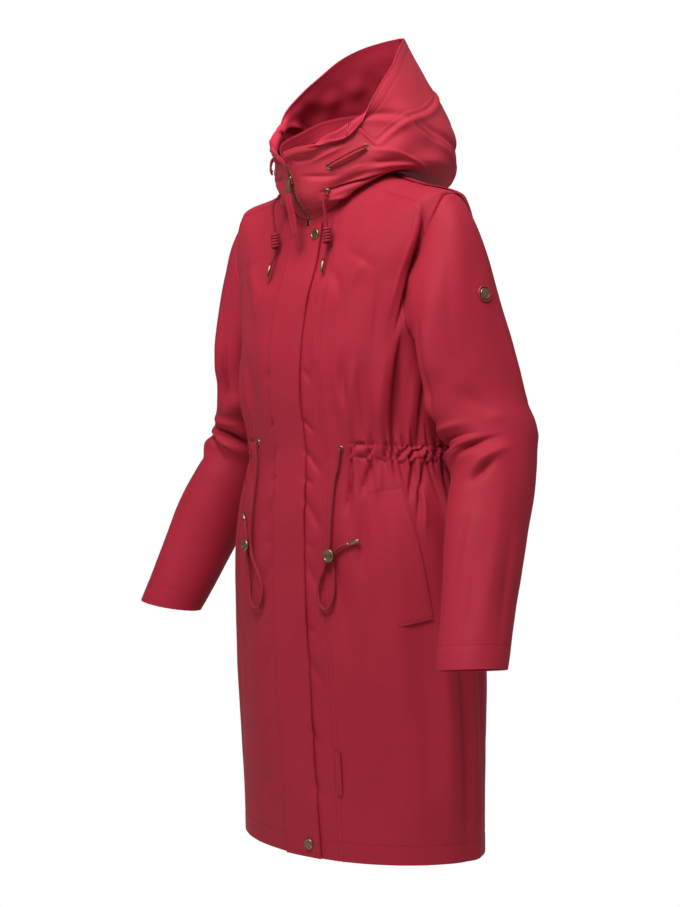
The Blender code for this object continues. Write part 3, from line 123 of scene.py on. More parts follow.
paper, tree, shader = plain_finish("studio_paper", "ffffff", 0.9)
seen = node(tree, "ShaderNodeLightPath").outputs["Is Camera Ray"]
bright = node(tree, "ShaderNodeEmission", {"Color": (1, 1, 1, 1), "Strength": 1.0}).outputs[0]
both = node(tree, "ShaderNodeMixShader", {0: seen, 1: shader.outputs[0], 2: bright}).outputs[0]
tree.links.new(both, tree.nodes["Material Output"].inputs["Surface"])
floor = bpy.data.objects.new("floor", bpy.data.meshes.new("floor"))
floor.data.from_pydata([(-9, -9, FLOOR_HIGH), (9, -9, FLOOR_HIGH), (9, 9, FLOOR_HIGH), (-9, 9, FLOOR_HIGH)],
                       [], [(0, 1, 2, 3)])
floor.data.materials.append(paper)
bpy.context.scene.collection.objects.link(floor)


# ================================================================ shell cloth
# A dense matt polyester weave laminated to its backing. Fibre ends scatter the light, so it has a soft pale
# sheen at its edges and no gloss. The threads are 0.35 mm apart in the real cloth, too fine to show, so the
# weave is drawn 1.3 mm apart.
WEAVE_PITCH = 1.3 * MM


def woven(name, colour, shade, sheen=0.03, roughness=0.72, weave=0.1):
    """A woven cloth: thread bump on the piece's own UV map in metres, and faint patches of shade."""
    made, tree, shader = plain_finish(name, colour, roughness)
    uv = node(tree, "ShaderNodeTexCoord").outputs["UV"]
    place = node(tree, "ShaderNodeTexCoord").outputs["Object"]
    patches = node(tree, "ShaderNodeTexNoise", {"Vector": place, "Scale": 9.0, "Detail": 4.0}).outputs["Fac"]
    fibres = node(tree, "ShaderNodeTexNoise", {"Vector": uv, "Scale": 900.0, "Detail": 2.0}).outputs["Fac"]
    both = node(tree, "ShaderNodeMath", {0: patches, 1: fibres}, operation="ADD").outputs[0]
    share = node(tree, "ShaderNodeMapRange",
                 {"Value": both, "From Min": 0.7, "From Max": 1.3}).outputs["Result"]
    mix = node(tree, "ShaderNodeMix", {"Factor": share, "A": rgb(colour), "B": rgb(shade)}, data_type="RGBA")
    tree.links.new(mix.outputs["Result"], shader.inputs["Base Color"])
    heights = []
    for axis in ("X", "Y"):
        threads = node(tree, "ShaderNodeTexWave",
                       {"Vector": uv, "Scale": 2 * math.pi / (20 * WEAVE_PITCH), "Distortion": 1.2,
                        "Detail": 1.0, "Detail Scale": 3.0}, bands_direction=axis)
        heights.append(threads.outputs["Fac"])
    cross = node(tree, "ShaderNodeMath", {0: heights[0], 1: heights[1]}, operation="MULTIPLY").outputs[0]
    bump = node(tree, "ShaderNodeBump", {"Height": cross, "Strength": weave, "Distance": 0.35 * MM})
    tree.links.new(bump.outputs["Normal"], shader.inputs["Normal"])
    shader.inputs["Sheen Weight"].default_value = sheen
    shader.inputs["Sheen Roughness"].default_value = 0.45
    shader.inputs["Sheen Tint"].default_value = rgb("e8909a")
    shader.inputs["Specular IOR Level"].default_value = 0.25
    return made


shell_cloth = woven("polyester_shell_cloth", "a41d33", "94172b")
# The facing, on the inner face of every piece, is the shell cloth painted lighter: painted light for the fill
# light that reaches inside the hood.
facing_cloth_painted_light = woven("polyester_facing_cloth", "b82840", "a61f35")


# ================================================================ the body's form
# The coat is worn and filled out: rings round it from hem to neck, with the soft folds that its stiff cloth
# takes, the gathers of the waist cord, and the small unevenness of sewn cloth.
# side_z, front_z, back_z, half_width, front_y, side_y, back_y, squareness, in centimetres
BODY_RINGS = (
    (-88.7, -89.1, -88.1, 20.0, -9.1, 3.4, 15.2, 2.0),  # hem
    (-76.0, -76.0, -76.0, 20.4, -9.6, 3.2, 15.5, 2.0),  # lower skirt
    (-64.0, -64.0, -64.0, 20.5, -10.0, 2.9, 15.5, 2.05),  # thigh
    (-52.0, -52.0, -52.0, 20.0, -10.1, 2.4, 14.8, 2.1),  # hip
    (-45.0, -45.0, -45.0, 19.0, -9.9, 1.8, 13.6, 2.1),  # high hip
    (-37.0, -36.6, -37.0, 16.4, -9.5, 1.0, 11.4, 2.1),  # waist
    (-30.0, -29.2, -30.0, 16.4, -10.3, 0.5, 11.3, 2.25),  # ribs
    (-22.5, -22.8, -22.5, 17.0, -10.1, 0.4, 11.4, 2.4),  # bust
    (-14.0, -16.5, -15.0, 18.2, -8.9, 0.3, 11.2, 2.5),  # chest
    (-3.3, -11.5, -8.0, 19.2, -7.2, 0.3, 9.8, 2.4),  # shoulder tip
    (-1.6, -8.5, -2.5, 13.0, -6.6, 0.2, 7.8, 2.1),  # mid shoulder
    (0.2, -6.0, 1.2, 7.6, -6.4, 0.0, 6.3, 2.0),  # neck seam
)
HEM_LEVEL, NECK_LEVEL, TIP_LEVEL, UNDERARM_LEVEL = -88.7, 0.2, -3.3, -23.5
# angle, angle_spread, level, level_spread, depth in millimetres, on both sides of the coat
BODY_FOLDS = (
    (50, 5, -60, 12, 3.0), (63, 6, -68, 14, -3.5), (80, 7, -72, 13, 3.5), (98, 5, -78, 12, 3.0),
    (118, 8, -70, 15, -3.5), (140, 9, -66, 16, 3.5), (162, 8, -72, 14, -3.0), (34, 5, -46, 7, -2.5),
    (72, 6, -47, 6, 2.5), (56, 6, -29, 5, 2.5), (70, 5, -31, 4, -2.5), (84, 6, -30, 5, 2.5),
    (125, 8, -30, 5, -2.5), (152, 8, -31, 5, 2.5), (60, 5, -17, 5, -3.0), (128, 6, -18, 6, -3.0),
    (33, 4, -12, 5, -1.8),
)


def between(table, keys):
    """A table's columns at keys between its rows, as a flexible curve through them would give."""
    table = np.asarray(table, float)
    at, rows = table[:, 0], table[:, 1:]
    slope = np.empty_like(rows)
    slope[1:-1] = (rows[2:] - rows[:-2]) / (at[2:] - at[:-2])[:, None]
    slope[0] = (rows[1] - rows[0]) / (at[1] - at[0])
    slope[-1] = (rows[-1] - rows[-2]) / (at[-1] - at[-2])
    keys = np.clip(np.asarray(keys, float), at[0], at[-1])
    i = np.clip(np.searchsorted(at, keys) - 1, 0, len(at) - 2)
    step = (at[i + 1] - at[i])[..., None]
    t = (keys - at[i])[..., None] / step
    h00, h10 = (1 + 2 * t) * (1 - t) ** 2, t * (1 - t) ** 2
    h01, h11 = t * t * (3 - 2 * t), t * t * (t - 1)
    return h00 * rows[i] + h10 * step * slope[i] + h01 * rows[i + 1] + h11 * step * slope[i + 1]


def bump(distance, spread):
    """1 in the middle of a fold and 0 past its spread, with no edge."""
    u = np.abs(distance) / (spread * 1.6)
    return np.where(u < 1, (1 - np.minimum(u, 1) ** 2) ** 2, 0.0)


def smooth(value, low, high):
    """0 at low, 1 at high, easing in and out."""
    t = np.clip((np.asarray(value, float) - low) / (high - low), 0, 1)
    return t * t * (3 - 2 * t)


def unit(vectors):
    """Vectors of length one."""
    return vectors / np.maximum(np.linalg.norm(vectors, axis=-1, keepdims=True), 1e-12)


def normal_of(form, u, v, u_step, v_step):
    """The outward normal of a form with two parameters."""
    across, along = form(u + u_step, v) - form(u - u_step, v), form(u, v + v_step) - form(u, v - v_step)
    return unit(np.cross(across, along))


def body_plain(angle, level):
    """The smooth body at an angle (0 front, 90 the wearer's left, 180 back) and a level."""
    angle, level = np.broadcast_arrays(np.asarray(angle, float), np.asarray(level, float))
    front_z, back_z, half, front_y, side_y, back_y, square = np.moveaxis(between(BODY_RINGS, level), -1, 0)
    side, ahead = np.sin(np.radians(angle)), np.cos(np.radians(angle))
    end_y, end_z = np.where(ahead > 0, front_y, back_y), np.where(ahead > 0, front_z, back_z)
    x = half * np.sign(side) * np.abs(side) ** (2 / square)
    y = side_y + (end_y - side_y) * np.abs(ahead) ** (2 / square)
    return np.stack([x, y, level + (end_z - level) * ahead * ahead], -1) * CM


def body_normal(angle, level):
    """The smooth body's outward normal."""
    return normal_of(body_plain, angle, np.clip(level, HEM_LEVEL + 0.1, NECK_LEVEL - 0.1), 0.6, 0.1)


GATHER_LEVEL, GATHER_ANGLE, GATHER_PITCH = -36.5, 31.5, 7.2  # level, where they start, degrees to a gather
CHANNEL_HALF, GATHER_DEEP = 0.95, 6.8 * MM  # the cord's channel: half its height in centimetres
CHANNEL_WAVE = 0.3  # how far its two stitched edges wander, in centimetres


def gathers(turned, level):
    """The waist cord's gathers: round puffs with sharp valleys in its channel, and tails of uneven length."""
    starts = smooth(turned, GATHER_ANGLE, GATHER_ANGLE + 4)
    phase = turned / GATHER_PITCH + 0.3 * np.sin(turned * 0.21) + 0.17 * np.sin(turned * 0.52 + 1)
    away = level - GATHER_LEVEL
    which = np.sin(np.floor(phase + 0.5) * 12.9898) * 43758.5453
    chance = which - np.floor(which)
    swing = 0.5 * np.sin(turned * 0.37 + 0.6)
    high = np.abs(np.cos(np.pi * (phase + 0.05 * swing * np.maximum(away - CHANNEL_HALF, 0)))) - 0.64
    low = np.abs(np.cos(np.pi * (phase + 0.42 - 0.06 * swing * np.minimum(away + CHANNEL_HALF, 0)))) - 0.64
    share = smooth(away, -0.5, 0.5)
    far = np.maximum(np.abs(away) - CHANNEL_HALF * 0.9, 0)
    tail = (0.9 + 1.7 * chance) * np.where(away > 0, 1.0, 1.15)
    cloth = (high * share + low * (1 - share)) * np.exp(-(far / tail) ** 1.3)
    inside = np.abs(np.cos(np.pi * (phase + 0.21 - (0.2 + 0.5 * chance) * away / CHANNEL_HALF))) - 0.64
    wave = np.cos(2 * np.pi * phase + 0.9 * np.sign(away)) * (0.4 + 0.6 * chance)
    edge = CHANNEL_HALF + CHANNEL_WAVE * wave
    channel = smooth(edge - np.abs(away), -0.1, 0.3)
    crossing = np.exp(-((np.abs(away) - edge) / 0.2) ** 2)
    fine = 0.16 * np.cos(2 * np.pi * phase * 3.1 + 1) * np.exp(-far / 0.5)
    puffs = (inside * (0.5 + 0.6 * chance) + 0.1) * channel
    return starts * (cloth * (1 - channel) + puffs - 0.1 * crossing + fine) * GATHER_DEEP


def rumple(places, lengths, rise, seed, flat=(1, 1, 1)):
    """The slight unevenness of sewn cloth: many waves of these lengths, in metres, added up."""
    random = np.random.default_rng(seed)
    total = np.zeros(places.shape[:-1])
    count = 26
    for _ in range(count):
        direction = unit(random.normal(size=3) * flat)
        length = math.exp(random.uniform(math.log(lengths[0]), math.log(lengths[1])))
        shift = random.uniform(0, 2 * np.pi)
        total += (length / lengths[1]) ** 0.8 * np.cos(places @ direction * 2 * np.pi / length + shift)
    return total * rise / math.sqrt(count)


# Folds of the worn coat: start angle, start level, end angle, end level, width and depth in millimetres, lean
# (towards 1 the side on the right of the way from start to end is steep, towards -1 the other), bow.
FOLDS = (
    (67, -5.2, 62.5, -19, 8, -8.5, 0.5, -2),  # beside the armhole, in front
    (62, -4.5, 56, -17, 10, 2.6, 0.5, 0),
    (33, -3.5, 20, -17.5, 24, 3.0, 0, 0),  # the chest's ridge
    (44, -13, 50, -24, 16, -2.4, 0.3, 0),
    (66, -22, 60.5, -36.2, 13, -8.0, 0.6, 0),  # the side, above the waist cord
    (56, -24, 53, -35.5, 12, 2.4, 0.3, 0), (72, -6, 80, -24, 20, -2.0, 0, 0),
    (30, -24, 34, -31.5, 9, -3.2, 0.2, 3), (37, -25.5, 36, -33, 8, 2.2, 0, 0),
    (41, -24.5, 46.5, -35.4, 14, -3.0, 0.5, 2), (51, -27, 51, -35.6, 9, 1.8, 0, 0),
    (76, -27, 71, -35.6, 9, 2.2, 0.4, 0), (84, -26, 78, -35.8, 9, -2.8, 0.4, 0),
    (90, -24, 92, -35.4, 8, 3.0, 0, 0), (24, -27, 28, -35, 12, -1.8, 0, 0),
    (33.8, -37.9, 29.2, -43.8, 5, -4.2, 0.4, -2), (36.5, -38, 33.5, -45, 8, 2.6, 0, 0),
    (46.4, -37.8, 38.6, -41.6, 5, -3.8, 0.4, 2), (51, -38, 47, -42, 7, 1.8, 0, 0),
    (70.6, -38, 63.8, -42, 5, -3.4, 0.4, 0), (80, -37.4, 65.4, -45, 6, -4.0, 0.4, 3),
    (75, -38, 68, -47, 7, 2.4, 0, 0), (94, -37, 87.5, -45, 6, -3.6, 0.3, 0),
    (88, -38, 84, -50, 9, 2.6, 0, 0), (30, -45, 33, -57, 14, 1.8, 0, 0),
    (38, -43, 34.5, -52, 9, -2.2, 0.3, 0), (37, -58, 33, -73, 16, -1.8, 0, 4),
    (73, -58, 78, -84, 15, 2.6, 0, 0), (83, -57, 87.5, -86, 12, -3.2, 0.3, 0),
    (93, -60, 92, -87, 10, 2.8, 0, 0), (99, -58, 101, -80, 10, -2.4, 0, 0),
    (57, -66, 62, -87, 18, 1.8, 0, 0), (45, -62, 52, -84, 20, -1.6, 0, 6),
    (8, -33, 14, -34.5, 4, -1.8, 0.3, 0), (8, -36.5, 17, -39.5, 6, -2.0, 0.5, 0),
    (8, -40, 13, -41, 4, -1.6, 0.3, 0), (8, -42.6, 16, -46.5, 6, -2.2, 0.5, 0),
    (8.5, -48, 13.5, -49, 4, -1.4, 0, 0), (8, -26, 13, -28, 5, -1.4, 0.3, 0),
    (9, -51, 17, -55, 7, -1.8, 0.5, 0), (9.5, -59, 14, -60, 5, -1.2, 0, 0),
    (9.5, -63, 17, -67, 8, -1.6, 0.4, 0), (10, -72, 16, -74.5, 6, -1.2, 0, 0),
    (10.5, -79, 18, -81, 7, -1.2, 0, 0), (22, -48, 30, -64, 10, -1.8, 0.3, 0),
    (12, -6, 24, -15, 11, -1.8, 0, 0), (20, -3, 38, -10, 10, -1.4, 0.3, 0),
    (12, -20, 20, -29, 14, 1.2, 0, 0), (110, -9, 121, -22, 10, -3.4, 0.3, 0),
    (120, -12, 133, -27, 11, 2.8, 0, 0), (150, -20, 139, -32, 12, -2.2, 0, 0),
    (165, -14, 172, -31, 14, 1.8, 0, 0), (112, -25, 100, -34, 9, 3.0, 0.3, 0),
    (120, -26, 112, -35.5, 7, -3.6, 0.3, 0), (138, -26, 134, -35.6, 8, -2.8, 0, 0),
    (156, -25, 154, -35.6, 8, 2.4, 0, 0), (172, -26, 173, -35.6, 8, -2.6, 0, 0),
    (128, -38, 121, -56, 9, 3.0, 0.3, 0), (140, -38, 146, -57, 9, -2.8, 0.3, 0),
    (158, -38, 160, -53, 9, 2.4, 0, 0), (170, -38, 168, -60, 10, -2.4, 0, 0),
    (110, -38, 105, -55, 8, -3.0, 0.3, 0), (118, -37.8, 116, -48, 6, -3.0, 0, 0),
    (150, -60, 157, -87, 16, 2.6, 0, 0), (130, -58, 125, -86, 16, -2.8, 0, 0),
    (141, -63, 140, -87, 12, 2.0, 0, 0), (175, -62, 172, -86, 14, -1.8, 0, 0),
)
FOLD_SCALE = 1.8  # how many times deeper all the creases are than their tables say
DEGREE, LEVEL = 2.7 * MM, 10 * MM  # about how far a degree and a level reach on the cloth


def creases(table, across, along, unit_across, unit_along):
    """Folds along short bowed lines: steep on one side where they lean, fading at both ends, in metres."""
    total = np.zeros(np.shape(across))
    for across_a, along_a, across_b, along_b, width, depth, lean, bow in table:
        ax, ay = across_a * unit_across, along_a * unit_along
        run = np.array((across_b * unit_across - ax, along_b * unit_along - ay))
        px, py = across * unit_across - ax, along * unit_along - ay
        t = (px * run[0] + py * run[1]) / (run @ run)
        off = (px * run[1] - py * run[0]) / math.hypot(*run)
        off = off - bow * MM * 4 * t * (1 - t)
        wide = width * MM * (1 - lean * np.tanh(off / (width * 0.3 * MM)))
        total += FOLD_SCALE * depth * MM / (1 + (off / wide) ** 2) ** 2 * bump(t - 0.5, 0.44)
    return total


def relief(angle, level):
    """How far the folds, drag lines, gathers and rumples move the shell out, in metres."""
    turned = np.abs((np.asarray(angle, float) + 180) % 360 - 180)
    level = np.asarray(level, float)
    soft = (depth * bump(turned - a, sa) * bump(level - at, sl) for a, sa, at, sl, depth in BODY_FOLDS)
    total = sum(soft) * MM
    total = total + creases(FOLDS, turned, level, DEGREE, LEVEL) + gathers(turned, level)
    places = body_plain(angle, level)
    total = total + rumple(places, (0.035, 0.16), 0.75 * MM, 3, (1, 1, 0.5))
    return total


def shell(angle, level, out=0.0):
    """The shell's outer surface, moved out by out."""
    level = np.clip(level, HEM_LEVEL, NECK_LEVEL)
    return body_plain(angle, level) + body_normal(angle, level) * (relief(angle, level) + out)[..., None]


CLOSURE = (  # level, free edge of the flap, seam of the band under it, both as x in centimetres
    (-88.7, 5.2, 8.0), (-76.0, 4.6, 7.8), (-60.0, 3.75, 7.0), (-45.0, 3.2, 6.3), (-30.0, 2.8, 5.8),
    (0.2, 2.8, 5.0),
)


def front_angle(x, level):
    """The angle at which the front has this x, in metres."""
    rings = between(BODY_RINGS, level)
    share = np.clip(np.abs(x) / (rings[..., 2] * CM), 0, 1)
    return np.degrees(np.copysign(np.arcsin(share ** (rings[..., 6] / 2)), x))


def side_angle(level):
    """The side seam, which swings forward to the underarm point."""
    return 98 + (ARMHOLE_ANGLE - 98) * smooth(level, -42, UNDERARM_LEVEL)


ARMHOLE_ANGLE, FRONT_REACH, BACK_REACH = 94.0, 30.0, 24.0


def armhole(turn, reach):
    """The armhole's edge as angle and level: turn 0 underarm, 180 shoulder tip."""
    s, c = np.sin(np.radians(turn)), np.cos(np.radians(turn))
    middle, half = (TIP_LEVEL + UNDERARM_LEVEL) / 2, (TIP_LEVEL - UNDERARM_LEVEL) / 2
    return ARMHOLE_ANGLE - reach * np.abs(s) ** 0.9 * (1 + 0.15 * c), middle - half * c


# ================================================================ walls and stitches
# Every cloth piece is a wall with an outer and an inner face, its cut edges closed. Seams are topstitched
# with polyester thread, 3.4 mm to a stitch, which pulls the cloth into a shallow groove with small puckers.
CLOTH_THICK = 1.3 * MM
SEAM_RISE, GROOVE = 0.55 * MM, 0.45 * MM
# The real thread matches the cloth; it is drawn darker, as painted shade, so the raised stitches read as dark
# shaded seam lines and do not catch the light.
thread, _, thread_shader = plain_finish("polyester_thread_painted_shade", "701020", 0.85)
thread_shader.inputs["Specular IOR Level"].default_value = 0.2


def lengths_across(points, axis):
    """How far each point is along its row, or its column, from the first, in metres."""
    steps = np.linalg.norm(np.diff(points, axis=axis), axis=-1)
    start = np.zeros_like(np.take(steps, [0], axis=axis))
    return np.concatenate([start, np.cumsum(steps, axis=axis)], axis=axis)


def from_edge(points, edge):
    """Each point's distance from one edge of its grid, in metres."""
    run = lengths_across(points, 1 if edge in ("left", "right") else 0)
    if edge == "right":
        run = run[:, -1:] - run
    if edge == "high":
        run = run[-1:] - run
    return run


def sewn(points, normals, seams, lanes):
    """Points moved as sewing moves them: a soft rise beside each seam, a groove under each lane."""
    moved = np.zeros(points.shape[:2])
    for edge in seams:
        away = from_edge(points, edge)
        pucker = rumple(points, (0.009, 0.022), 0.35 * MM, 11)
        moved += SEAM_RISE * np.exp(-((away - 5 * MM) / (4 * MM)) ** 2) + pucker * np.exp(-away / (9 * MM))
    for edge, inward in lanes:
        away = from_edge(points, edge)
        moved -= GROOVE * np.exp(-((away - inward * MM) / (1.3 * MM)) ** 2)
    return points + normals * moved[..., None]


def lane(points, edge, inward):
    """The line on a grid of points that runs along one edge, inward millimetres from it."""
    away = from_edge(points, edge)
    if edge in ("low", "high"):
        points, away = points.swapaxes(0, 1), away.swapaxes(0, 1)
    if edge in ("right", "high"):
        points, away = points[:, ::-1], away[:, ::-1]
    line = []
    for row, run in zip(points, away):
        if run[-1] > inward * MM * 1.5:
            line.append([np.interp(inward * MM, run, row[:, k]) for k in range(3)])
    return np.array(line)


def object_of(name, vertices, faces, finishes):
    """An object from points and faces, shaded smooth."""
    mesh = bpy.data.meshes.new(name)
    mesh.from_pydata(vertices, [], faces)
    for finish in finishes:
        mesh.materials.append(finish)
    mesh.shade_smooth()
    thing = bpy.data.objects.new(name, mesh)
    bpy.context.scene.collection.objects.link(thing)
    return thing


def enclosed(vertices, faces):
    """The volume that quads and triangles enclose, negative when they face inwards."""
    total = 0.0
    for i in range(2):
        corners = vertices[faces[:, [0, i + 1, i + 2]]]
        total += np.einsum("ij,ij->i", corners[:, 0], np.cross(corners[:, 1], corners[:, 2])).sum()
    return total / 6


def wall(name, outside, inside, finishes, tube=False):
    """A closed wall from two grids of points. A tube's first and last columns are one and the same."""
    rows, columns = outside.shape[:2]
    grid = np.arange(rows * columns).reshape(rows, columns)
    if tube:
        grid[:, -1] = grid[:, 0]
    a, b, c, d = grid[:-1, :-1], grid[:-1, 1:], grid[1:, 1:], grid[1:, :-1]
    outer = np.stack([a, b, c, d], -1).reshape(-1, 4)
    turned = rows * columns
    rims = [np.stack([grid[0, 1:], grid[0, :-1], grid[0, :-1] + turned, grid[0, 1:] + turned], -1),
            np.stack([grid[-1, :-1], grid[-1, 1:], grid[-1, 1:] + turned, grid[-1, :-1] + turned], -1)]
    if not tube:
        rims += [np.stack([grid[:-1, 0], grid[1:, 0], grid[1:, 0] + turned, grid[:-1, 0] + turned], -1),
                 np.stack([grid[1:, -1], grid[:-1, -1], grid[:-1, -1] + turned, grid[1:, -1] + turned], -1)]
    faces = np.concatenate([outer, outer[:, ::-1] + turned, *rims])
    vertices = np.concatenate([outside.reshape(-1, 3), inside.reshape(-1, 3)])
    if enclosed(vertices, faces) < 0:
        faces = faces[:, ::-1]
    thing = object_of(name, vertices.tolist(), faces.tolist(), finishes)
    slots = np.zeros(len(faces), np.int32)
    if len(finishes) > 1:
        slots[len(outer):2 * len(outer)] = 1
    thing.data.polygons.foreach_set("material_index", slots)
    metres = np.stack([lengths_across(outside, 1), lengths_across(outside, 0)], -1).reshape(-1, 2)
    metres = np.concatenate([metres, metres])
    corners = np.empty(len(thing.data.loops), np.int32)
    thing.data.loops.foreach_get("vertex_index", corners)
    thing.data.uv_layers.new(name="cloth").data.foreach_set("uv", metres[corners].ravel())
    if tube:
        spare = np.concatenate([np.arange(rows) * columns + columns - 1] * 2)
        spare[rows:] += turned
        drop_loose(thing, spare)
    thing.data.set_sharp_from_angle(angle=math.radians(60))
    return thing


def drop_loose(thing, which):
    """Remove points that no face uses."""
    shape = bmesh.new()
    shape.from_mesh(thing.data)
    shape.verts.ensure_lookup_table()
    bmesh.ops.delete(shape, geom=[shape.verts[i] for i in which], context="VERTS")
    shape.to_mesh(thing.data)
    shape.free()


def rows_tree(name, size, finish, shape):
    """A Geometry Nodes tree that sets small pieces in a row along every line of a mesh."""
    tree = bpy.data.node_groups.new(name, "GeometryNodeTree")
    for label, kind, way in (("Lines", "NodeSocketGeometry", "INPUT"), ("Pitch", "NodeSocketFloat", "INPUT"),
                             ("Rows", "NodeSocketGeometry", "OUTPUT")):
        tree.interface.new_socket(name=label, in_out=way, socket_type=kind)
    given = node(tree, "NodeGroupInput")
    curve = node(tree, "GeometryNodeMeshToCurve", {"Mesh": given.outputs["Lines"]})
    spots = node(tree, "GeometryNodeCurveToPoints",
                 {"Curve": curve.outputs[0], "Length": given.outputs["Pitch"]}, mode="LENGTH")
    turn = node(tree, "FunctionNodeAlignRotationToVector", {"Vector": spots.outputs["Tangent"]}, axis="X")
    piece = shape(tree)
    laid = node(tree, "GeometryNodeInstanceOnPoints",
                {"Points": spots.outputs["Points"], "Instance": piece, "Rotation": turn.outputs[0],
                 "Scale": size})
    real = node(tree, "GeometryNodeRealizeInstances", {0: laid.outputs[0]})
    soft = node(tree, "GeometryNodeSetShadeSmooth", {0: real.outputs[0]})
    made = node(tree, "GeometryNodeSetMaterial", {"Geometry": soft.outputs[0], "Material": finish})
    out = node(tree, "NodeGroupOutput")
    tree.links.new(made.outputs[0], out.inputs[0])
    return tree


def set_in_rows(name, lines, tree, pitch, body):
    """Lines of points given to a tree as edges, and what it makes of them as one plain mesh."""
    vertices, edges = [], []
    for line in lines:
        first = len(vertices)
        vertices += [tuple(point) for point in line]
        edges += [(first + i, first + i + 1) for i in range(len(line) - 1)]
    mesh = bpy.data.meshes.new(name)
    mesh.from_pydata(vertices, edges, [])
    thing = bpy.data.objects.new(name, mesh)
    bpy.context.scene.collection.objects.link(thing)
    modifier = thing.modifiers.new("rows", "NODES")
    modifier.node_group = tree
    pitch_socket = [s.identifier for s in tree.interface.items_tree if s.name == "Pitch"][0]
    modifier[pitch_socket] = pitch
    ready = thing.evaluated_get(bpy.context.evaluated_depsgraph_get())
    made = bpy.data.meshes.new_from_object(ready)
    thing.modifiers.remove(modifier)
    thing.data = made
    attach(thing, body)
    return thing


STITCH_PITCH, STITCH_SIZE = 3.4 * MM, (1.3 * MM, 0.28 * MM, 0.26 * MM)
stitch_tree = rows_tree("stitches", STITCH_SIZE, thread,
                        lambda tree: node(tree, "GeometryNodeMeshIcoSphere", {"Radius": 1.0}).outputs[0])


def stitched(name, lines, body="coat"):
    """Topstitching along lines that lie on the cloth."""
    lines = [line for line in lines if len(line) > 1]
    return set_in_rows(name, lines, stitch_tree, STITCH_PITCH, body)


def dressed(piece, solid, body="coat"):
    """A cloth piece goes to its body, and its solid is hidden."""
    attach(piece, body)
    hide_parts(solid)


def mirror(points, side):
    """Points of the wearer's left, moved to the side that is asked for: 1 left, -1 right."""
    return points * np.array((side, 1, 1))


def side_name(side):
    """The wearer's side of the coat."""
    return "left" if side > 0 else "right"


def shell_panel(name, angles, levels, side, seams=(), lanes=(), lift=0.0, thick=CLOTH_THICK, extra=None):
    """One panel of the body: its wall, and the lines of its topstitching."""
    normals = body_normal(angles, levels)
    outside = body_plain(angles, levels) + normals * (relief(angles, levels) + lift)[..., None]
    if extra is not None:
        outside = outside + normals * extra[..., None]
    outside = sewn(outside, normals, seams, lanes)
    for edge in seams:
        away = from_edge(outside, edge)
        outside = outside - normals * (0.35 * MM * np.exp(-(away / (1.0 * MM)) ** 2))[..., None]
    outside, inside = mirror(outside, side), mirror(outside - normals * thick, side)
    piece = wall(name, outside, inside, (shell_cloth, facing_cloth_painted_light))
    return piece, outside, [lane(outside, edge, inward) for edge, inward in lanes]


# ================================================================ fronts and the band beside the zip
# Each front is cut in one from the neck seam to the hem. The left front has a narrow band sewn on beside the
# zip. The hem is turned up 2.5 cm and stitched once; band, yoke and armhole seams are topstitched.
FRONT_EDGE_X = 3.2 * MM
NECK_JOIN_ANGLE, NECK_SHARE = 62.0, 4 / 9  # where the yoke seam starts, and its share of the top edge
LOW_TURNS = (0, 18, 36, 56, 78, 100, 122)
CHEST_SHARES = (0, 0.2, 0.4, 0.58, 0.75, 0.9, 1.0)
YOKE_TURN = 122
HEM_LANE, SEAM_LANE = 25.0, 5.5
FRONT_COLUMNS, SKIRT_ROWS, CHEST_ROWS = 88, 186, 74


def yoke_line(t):
    """The front yoke seam as angle and level, from the neck seam out to the armhole."""
    angle, level = armhole(YOKE_TURN, FRONT_REACH)
    return (NECK_JOIN_ANGLE + (angle - NECK_JOIN_ANGLE) * t,
            NECK_LEVEL + (level - NECK_LEVEL) * (1 - (1 - t) ** 1.5))


def skirt_levels(rows):
    """Levels from the hem to the underarm, closer together round the waist's gathers."""
    t = np.linspace(0, 1, 400)
    at = HEM_LEVEL + (UNDERARM_LEVEL - HEM_LEVEL) * t
    weight = 1 + 2.2 * np.exp(-((at - GATHER_LEVEL) / 3.5) ** 2)
    run = np.concatenate([[0], np.cumsum((weight[1:] + weight[:-1]) / 2)])
    return np.interp(np.linspace(0, run[-1], rows), run, at)


def filled(left, right, top, bend):
    """A grid of angles and levels between two edges, bending towards the top row."""
    s = np.linspace(0, 1, top.shape[0])[None, :, None]
    plain = left[:, None] * (1 - s) + right[:, None] * s
    off = top[None] - (top[:1] * (1 - s) + top[-1:] * s)
    grid = plain + off * bend[:, None, None]
    return grid[..., 0], grid[..., 1]


def pairs(angles, levels):
    """Angles and levels as rows of pairs."""
    return np.stack(np.broadcast_arrays(np.asarray(angles, float), np.asarray(levels, float)), -1)


